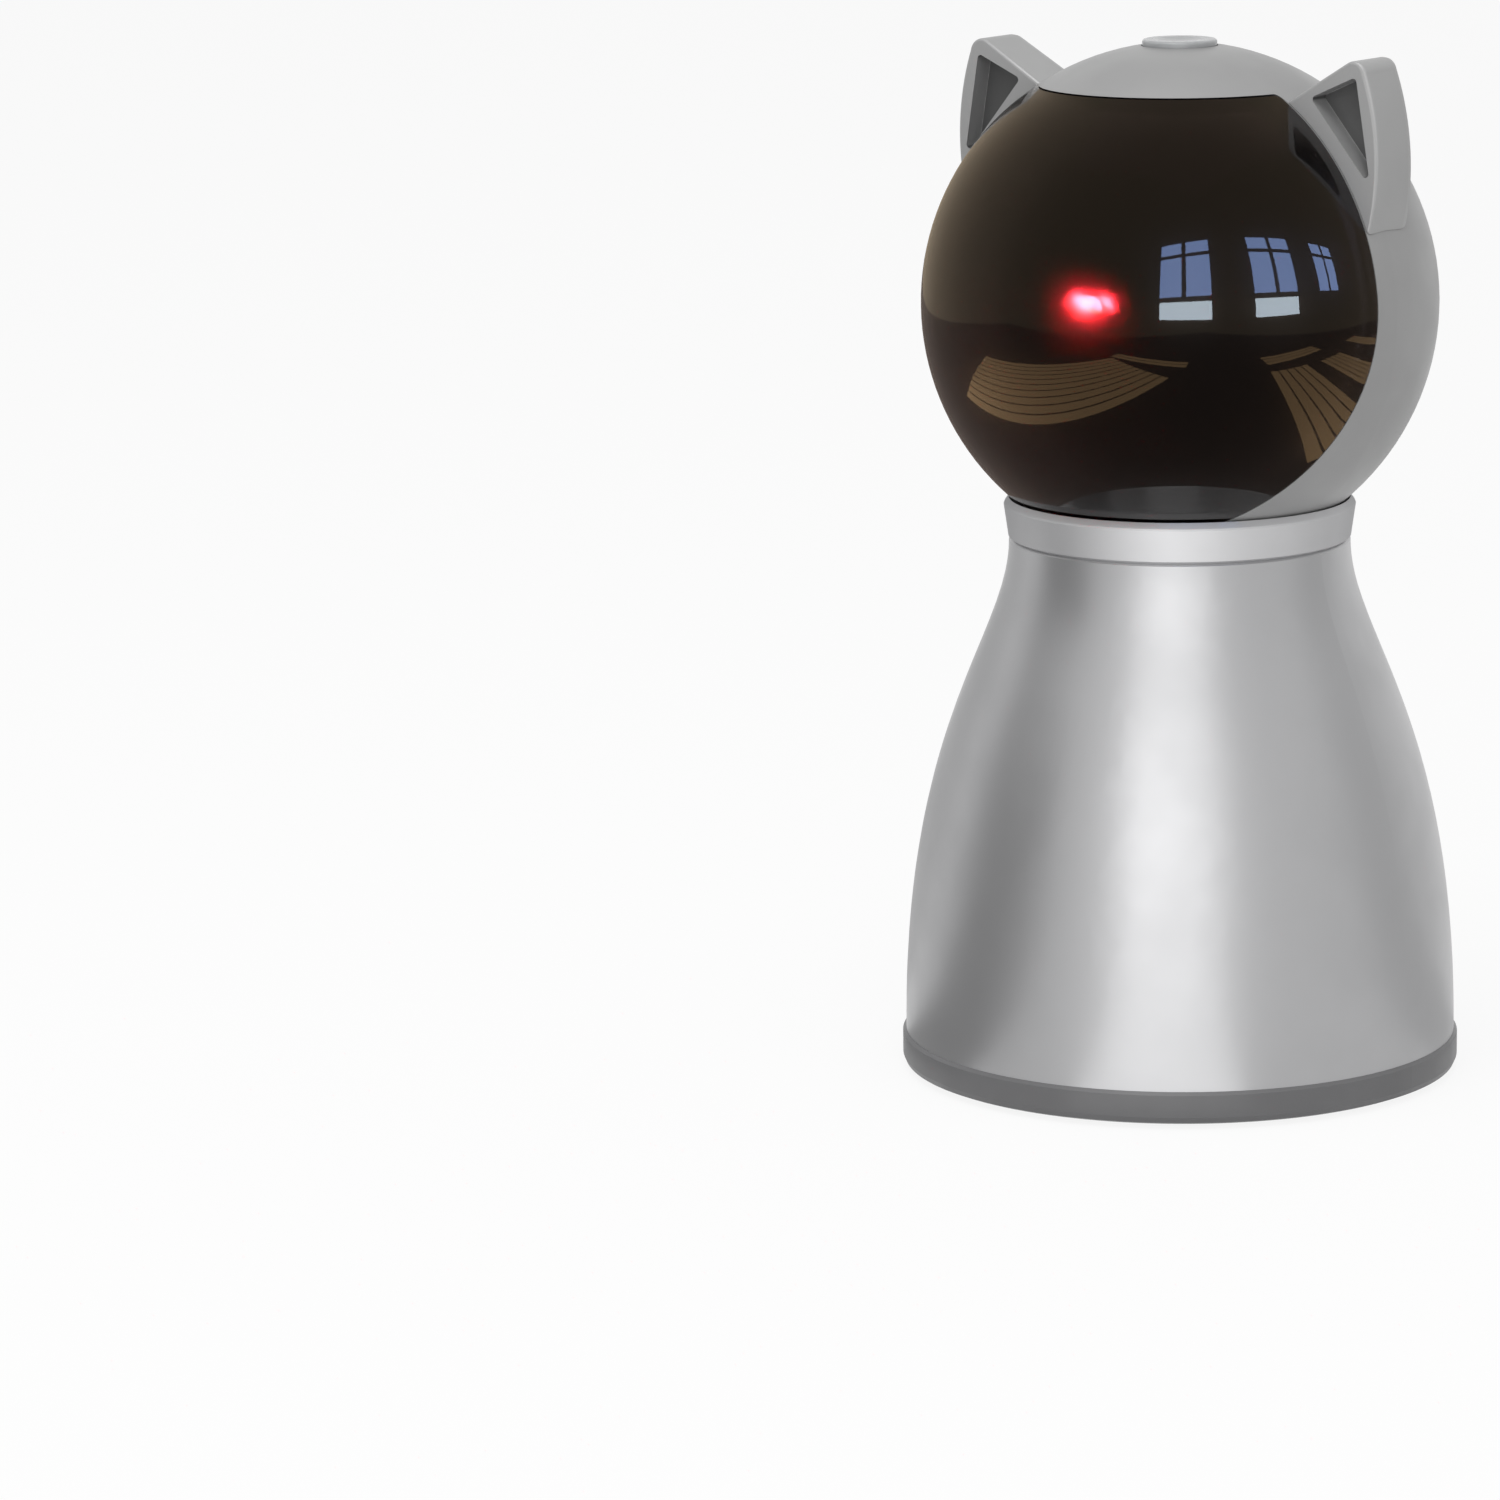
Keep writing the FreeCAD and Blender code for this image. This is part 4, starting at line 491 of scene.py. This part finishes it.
SHOWN_RAYS = ("Is Camera Ray", "Is Glossy Ray", "Is Transmission Ray")
WHITE = (1.0, 1.0, 1.0)

# Camera sensor in millimetres, and the power in watts that makes a square metre of lamp as bright as white
SENSOR = 36.0
WATTS_PER_GLOW = 4.0

# Softboxes: azimuths from the camera's, rises in degrees, distances from the aim, and the front one's height
STUDIO_AIM = (0.0, 0.0, 0.09)
BAND_TURN = -5.0
BAND_RISE = 14.0
BAND_AWAY = 1.6
BAND_HIGH = 1.3
TOP_TURN = -20.0
TOP_RISE = 70.0
TOP_AWAY = 1.3

# Cards that only gloss shows: wedges on the floor round the toy, and an upright one behind the dark wedge
WEDGE_START = 0.056
WEDGE_END = 1.5
WEDGE_STEPS = 8
BAND_HALF_ANGLE = 21.0
CARD_GAP = 0.002
FLAG_HIGH = 0.7

# Dark cards: azimuth from the camera's, half of the angle that they fill, and glow against white
DARK_CARDS = ((-81.0, 21.0, 0.3), (98.0, 16.0, 0.72), (-142.0, 16.0, 0.72))

# White shell round the stage, unseen by the visor, and the visor's own dim room
SHELL_R = 3.5
ROOM_R = 0.96
ROOM_HIGH = 1.9
SHELL_HIGH = 2.6
SHELL_SIDES = 48

# Floor: how much of it is plain white where it is seen, and its own paint
FLOOR_WHITE = 0.88
FLOOR_GREY = 0.80
FLOOR_ROUGHNESS = 0.6

# Panes of one window: left, right, low and high edges as shares of the window
SKY_PANES = ((0.0, 0.45, 0.83, 1.0), (0.54, 1.0, 0.83, 1.0), (0.0, 0.45, 0.27, 0.78), (0.54, 1.0, 0.27, 0.78))
LOW_PANE = (0.0, 1.0, 0.0, 0.21)
WINDOW_COUNT = 3

# Sunlit patches on the floor: middle, size and turn in degrees, each made of boards
SUN_PATCHES = (
    ((-0.12, -0.25), (0.50, 0.23), -27.0), ((0.155, -0.405), (0.26, 0.05), 46.0),
    ((0.24, 0.03), (0.27, 0.12), -31.0), ((0.35, 0.16), (0.20, 0.11), -31.0),
    ((0.48, -0.04), (0.25, 0.08), 50.0), ((0.55, 0.33), (0.20, 0.10), -31.0),
)
BOARD_WIDE = 0.024
BOARD_SHOWN = 0.85

# Heights of the lamps that stand for the room's floor and for the sun on it
GROUND_GAP = 0.003
SUN_GAP = 0.004


def staged(name, mesh):
    """Object of the stage, not part of the toy."""
    thing = bpy.data.objects.new(name, mesh)
    bpy.context.scene.collection.objects.link(thing)
    return thing


def facing(spot, target):
    """Placement at a spot whose Z looks away from the target, as a lamp or a camera does."""
    away = Vector(spot) - Vector(target)
    return Matrix.Translation(spot) @ away.to_track_quat("Z", "Y").to_matrix().to_4x4()


def around_toy(azimuth, elevation, away, target):
    """Point at an azimuth, elevation and distance from a target, as the views count them."""
    level = math.cos(elevation)
    way = Vector((math.sin(azimuth) * level, -math.cos(azimuth) * level, math.sin(elevation)))
    return Vector(target) + way * away


def standing(spot, turned):
    """Placement of an upright panel that faces the toy from an azimuth."""
    return Matrix.Translation(spot) @ Matrix.Rotation(turned, 4, "Z") @ Matrix.Rotation(math.pi / 2, 4, "X")


def light_group(name, state):
    """Collection that leaves the visor out of a lamp's light, or lets the lamp light nothing else."""
    group = bpy.data.collections.new(name)
    group.objects.link(frame["nodes"]["visor"])
    group.collection_objects[0].light_linking.link_state = state
    return group


def panel_lamp(name, placement, width, height, glow, colour, group):
    """Rectangular lamp of a set brightness against white, lit along -Z of its placement."""
    lamp = bpy.data.lights.new(name, "AREA")
    lamp.shape = "RECTANGLE"
    lamp.size = width
    lamp.size_y = height
    lamp.energy = WATTS_PER_GLOW * width * height * glow
    lamp.color = colour
    panel = bpy.data.objects.new(name, lamp)
    panel.visible_camera = False
    panel.light_linking.receiver_collection = group
    bpy.context.scene.collection.objects.link(panel)
    panel.matrix_world = placement


def ground_spot(azimuth, away, height):
    """Point round the toy at a height over the floor."""
    return Vector((math.sin(azimuth) * away, -math.cos(azimuth) * away, height))


def wedge(azimuth, half_angle_deg):
    """Ring sector on the floor, as one outline."""
    half = math.radians(half_angle_deg)
    turns = [azimuth - half + 2 * half * i / WEDGE_STEPS for i in range(WEDGE_STEPS + 1)]
    near = [ground_spot(a, WEDGE_START, CARD_GAP) for a in turns]
    far = [ground_spot(a, WEDGE_END, CARD_GAP) for a in reversed(turns)]
    return [near + far]


def upright(azimuth, half_angle_deg):
    """Upright card across the far end of a wedge, as one outline."""
    half = math.radians(half_angle_deg)
    ends = (azimuth - half, azimuth + half)
    low = [ground_spot(a, WEDGE_END, CARD_GAP) for a in ends]
    high = [ground_spot(a, WEDGE_END, FLAG_HIGH) for a in reversed(ends)]
    return [low + high]


def shell(radius):
    """Outlines of a round wall, a ceiling and a floor."""
    turns = [2 * math.pi * i / SHELL_SIDES for i in range(SHELL_SIDES)]
    low = [ground_spot(a, radius, CARD_GAP / 2) for a in turns]
    high = [ground_spot(a, radius, SHELL_HIGH) for a in turns]
    walls = [[low[i - 1], low[i], high[i], high[i - 1]] for i in range(SHELL_SIDES)]
    return walls + [high, low]


def glossy_card(name, outlines, glow, group):
    """Sheet of even white light that only glossy rays meet, and that lights one group."""
    sheet = bmesh.new()
    for outline in outlines:
        sheet.faces.new([sheet.verts.new(spot) for spot in outline])
    mesh = bpy.data.meshes.new(name)
    sheet.to_mesh(mesh)
    sheet.free()
    material = bpy.data.materials.new(name)
    material.use_nodes = True
    material.cycles.emission_sampling = "NONE"
    tree = material.node_tree
    tree.nodes.remove(tree.nodes["Principled BSDF"])
    light = tree.nodes.new("ShaderNodeEmission")
    light.inputs["Strength"].default_value = glow
    tree.links.new(light.outputs["Emission"], tree.nodes["Material Output"].inputs["Surface"])
    mesh.materials.append(material)
    card = staged(name, mesh)
    card.visible_camera = False
    card.visible_diffuse = False
    card.visible_transmission = False
    card.visible_shadow = False
    card.light_linking.receiver_collection = group


class TOY_OT_build_stage(Operator):
    """Pale floor, white surroundings, softboxes and the camera"""
    bl_idname = "toy.build_stage"
    bl_label = "Stage"

    def execute(self, context):
        stage = context.scene.toy_stage
        self.make_world(context, stage)
        self.make_floor(stage)
        self.make_camera(context, stage)
        self.make_lamps(stage)
        self.make_cards(stage)
        self.make_room(context.scene.toy_room)
        context.scene.view_settings.view_transform = "Standard"
        return {"FINISHED"}

    def make_world(self, context, stage):
        """White where it is seen, and dimmer where it lights dull surfaces."""
        world = bpy.data.worlds.new("studio_surround")
        world.use_nodes = True
        context.scene.world = world
        tree = world.node_tree
        background = tree.nodes["Background"]
        background.inputs["Color"].default_value = (1.0, 1.0, 1.0, 1.0)
        strength = tree.nodes.new("ShaderNodeMapRange")
        strength.inputs["To Min"].default_value = stage.ambient
        strength.inputs["To Max"].default_value = 1.0
        tree.links.new(rays(tree, *SHOWN_RAYS), strength.inputs["Value"])
        tree.links.new(strength.outputs["Result"], background.inputs["Strength"])

    def make_floor(self, stage):
        """Pale floor that keeps the toy's shadow and is white where it is seen."""
        plane = bmesh.new()
        bmesh.ops.create_grid(plane, x_segments=1, y_segments=1, size=stage.floor / 2)
        mesh = bpy.data.meshes.new("studio_floor")
        plane.to_mesh(mesh)
        plane.free()
        material = bpy.data.materials.new("pale_floor")
        material.use_nodes = True
        tree = material.node_tree
        shader = tree.nodes["Principled BSDF"]
        shader.inputs["Base Color"].default_value = (FLOOR_GREY, FLOOR_GREY, FLOOR_GREY, 1.0)
        shader.inputs["Roughness"].default_value = FLOOR_ROUGHNESS
        shader.inputs["Specular IOR Level"].default_value = 0.0
        white = tree.nodes.new("ShaderNodeEmission")
        white.inputs["Strength"].default_value = 1.0
        mix = tree.nodes.new("ShaderNodeMixShader")
        share = tree.nodes.new("ShaderNodeMath")
        share.operation = "MULTIPLY"
        share.inputs[1].default_value = FLOOR_WHITE
        tree.links.new(rays(tree, *SHOWN_RAYS), share.inputs[0])
        tree.links.new(share.outputs[0], mix.inputs["Fac"])
        tree.links.new(shader.outputs["BSDF"], mix.inputs[1])
        tree.links.new(white.outputs["Emission"], mix.inputs[2])
        tree.links.new(mix.outputs["Shader"], tree.nodes["Material Output"].inputs["Surface"])
        mesh.materials.append(material)
        staged("studio_floor", mesh)

    def make_camera(self, context, stage):
        """Camera at the photograph's viewing angle."""
        data = bpy.data.cameras.new("camera")
        data.lens = stage.lens * 1000.0
        data.sensor_width = SENSOR
        camera = bpy.data.objects.new("camera", data)
        context.scene.collection.objects.link(camera)
        spot = Vector((stage.camera_away * math.sin(stage.camera_turn),
                       -stage.camera_away * math.cos(stage.camera_turn), stage.camera_high))
        aim = Matrix.Rotation(stage.camera_turn + stage.aim_turn, 4, "Z")
        aim @= Matrix.Rotation(math.pi / 2 - stage.aim_down, 4, "X")
        aim @= Matrix.Rotation(stage.roll, 4, "Z")
        camera.matrix_world = Matrix.Translation(spot) @ aim
        context.scene.camera = camera

    def make_lamps(self, stage):
        """A wide softbox behind the camera and one overhead, neither mirrored by the visor."""
        rest = light_group("all_but_visor", "EXCLUDE")
        turned = stage.camera_turn + math.radians(BAND_TURN)
        spot = around_toy(turned, math.radians(BAND_RISE), BAND_AWAY, STUDIO_AIM)
        placement = facing(spot, STUDIO_AIM)
        panel_lamp("front_band", placement, stage.band_wide, BAND_HIGH, stage.band_glow, WHITE, rest)
        turned = stage.camera_turn + math.radians(TOP_TURN)
        spot = around_toy(turned, math.radians(TOP_RISE), TOP_AWAY, STUDIO_AIM)
        placement = facing(spot, STUDIO_AIM)
        panel_lamp("top_box", placement, stage.top_wide, stage.top_wide, stage.top_glow, WHITE, rest)

    def make_cards(self, stage):
        """Bright wedge in front, a dark one with a dark card at the side, and a white shell round all."""
        rest = light_group("all_but_visor_cards", "EXCLUDE")
        middle = stage.camera_turn + math.radians(BAND_TURN)
        glossy_card("band_wedge", wedge(middle, BAND_HALF_ANGLE), stage.band_card, rest)
        for azimuth, half_angle, glow in DARK_CARDS:
            turned = stage.camera_turn + math.radians(azimuth)
            glossy_card("dark_wedge", wedge(turned, half_angle), glow, rest)
            glossy_card("dark_card", upright(turned, half_angle), glow, rest)
        glossy_card("white_shell", shell(SHELL_R), 1.0, rest)

    def make_room(self, room):
        """Walls, ceiling, floor, window panes and sunlit boards, which light the visor alone."""
        visor = light_group("visor_alone", "INCLUDE")
        for azimuth in range(0, 360, 90):
            turned = math.radians(azimuth)
            spot = ground_spot(turned, ROOM_R, ROOM_HIGH / 2)
            panel_lamp("wall", standing(spot, turned), 2 * ROOM_R, ROOM_HIGH, 1.0, room.walls, visor)
        above = Matrix.Translation((0.0, 0.0, ROOM_HIGH))
        panel_lamp("ceiling", above, 2 * ROOM_R, 2 * ROOM_R, 1.0, room.ceiling, visor)
        ground = Matrix.Translation((0.0, 0.0, GROUND_GAP)) @ Matrix.Rotation(math.pi, 4, "X")
        panel_lamp("ground", ground, 2 * ROOM_R, 2 * ROOM_R, 1.0, room.ground, visor)
        middle = around_toy(room.wall_turn, 0.0, room.wall_away, (0.0, 0.0, room.sill))
        wall = standing(middle, room.wall_turn)
        for i in range(WINDOW_COUNT):
            left = room.first_window + i * room.window_apart - room.window_wide / 2
            panes = [(pane, room.sky) for pane in SKY_PANES]
            if i < WINDOW_COUNT - 1:
                panes.append((LOW_PANE, room.horizon))
            for (x0, x1, z0, z1), colour in panes:
                spot = (left + room.window_wide * (x0 + x1) / 2, room.window_high * (z0 + z1) / 2, 0.0)
                panel_lamp("pane", wall @ Matrix.Translation(spot), room.window_wide * (x1 - x0),
                           room.window_high * (z1 - z0), room.daylight, colour, visor)
        for (x, y), (long, wide), turned in SUN_PATCHES:
            patch = Matrix.Translation((x, y, SUN_GAP)) @ Matrix.Rotation(math.radians(turned), 4, "Z")
            patch @= Matrix.Rotation(math.pi, 4, "X")
            boards = round(wide / BOARD_WIDE)
            for i in range(boards):
                aside = (i + 0.5) * wide / boards - wide / 2
                panel_lamp("board", patch @ Matrix.Translation((0.0, aside, 0.0)), long,
                           wide / boards * BOARD_SHOWN, room.daylight, room.planks, visor)


# Add-on


OPERATORS = (
    TOY_OT_finish_base, TOY_OT_finish_body, TOY_OT_finish_head, TOY_OT_finish_visor, TOY_OT_finish_button,
    TOY_OT_finish_fasteners, TOY_OT_finish_power, TOY_OT_finish_mechanism, TOY_OT_finish_laser,
    TOY_OT_build_stage,
)


GROUPS = {"toy_colours": ToyColours, "toy_sizes": ToySizes, "toy_stage": StageSizes, "toy_room": RoomSizes}


class TOY_PT_sidebar(Panel):
    """Panel with one button for each step."""
    bl_idname = "TOY_PT_sidebar"
    bl_label = "Laser Toy"
    bl_space_type = "VIEW_3D"
    bl_region_type = "UI"
    bl_category = "Laser Toy"

    def draw(self, context):
        for operator in OPERATORS:
            self.layout.operator(operator.bl_idname)
        for group in GROUPS:
            values = getattr(context.scene, group)
            for name in values.__annotations__:
                self.layout.prop(values, name)


def register():
    """Makes the classes and the scene's settings known."""
    for cls in (*GROUPS.values(), *OPERATORS, TOY_PT_sidebar):
        bpy.utils.register_class(cls)
    for name, group in GROUPS.items():
        setattr(bpy.types.Scene, name, PointerProperty(type=group))


def unregister():
    """Takes the settings and the classes away again."""
    for name in GROUPS:
        delattr(bpy.types.Scene, name)
    for cls in reversed((*GROUPS.values(), *OPERATORS, TOY_PT_sidebar)):
        bpy.utils.unregister_class(cls)


def main():
    """Dresses the toy and sets the stage."""
    register()
    bpy.ops.toy.finish_base()
    bpy.ops.toy.finish_body()
    bpy.ops.toy.finish_head()
    bpy.ops.toy.finish_visor()
    bpy.ops.toy.finish_button()
    bpy.ops.toy.finish_fasteners()
    bpy.ops.toy.finish_power()
    bpy.ops.toy.finish_mechanism()
    bpy.ops.toy.finish_laser()
    bpy.ops.toy.build_stage()


if __name__ == "__main__":
    main()
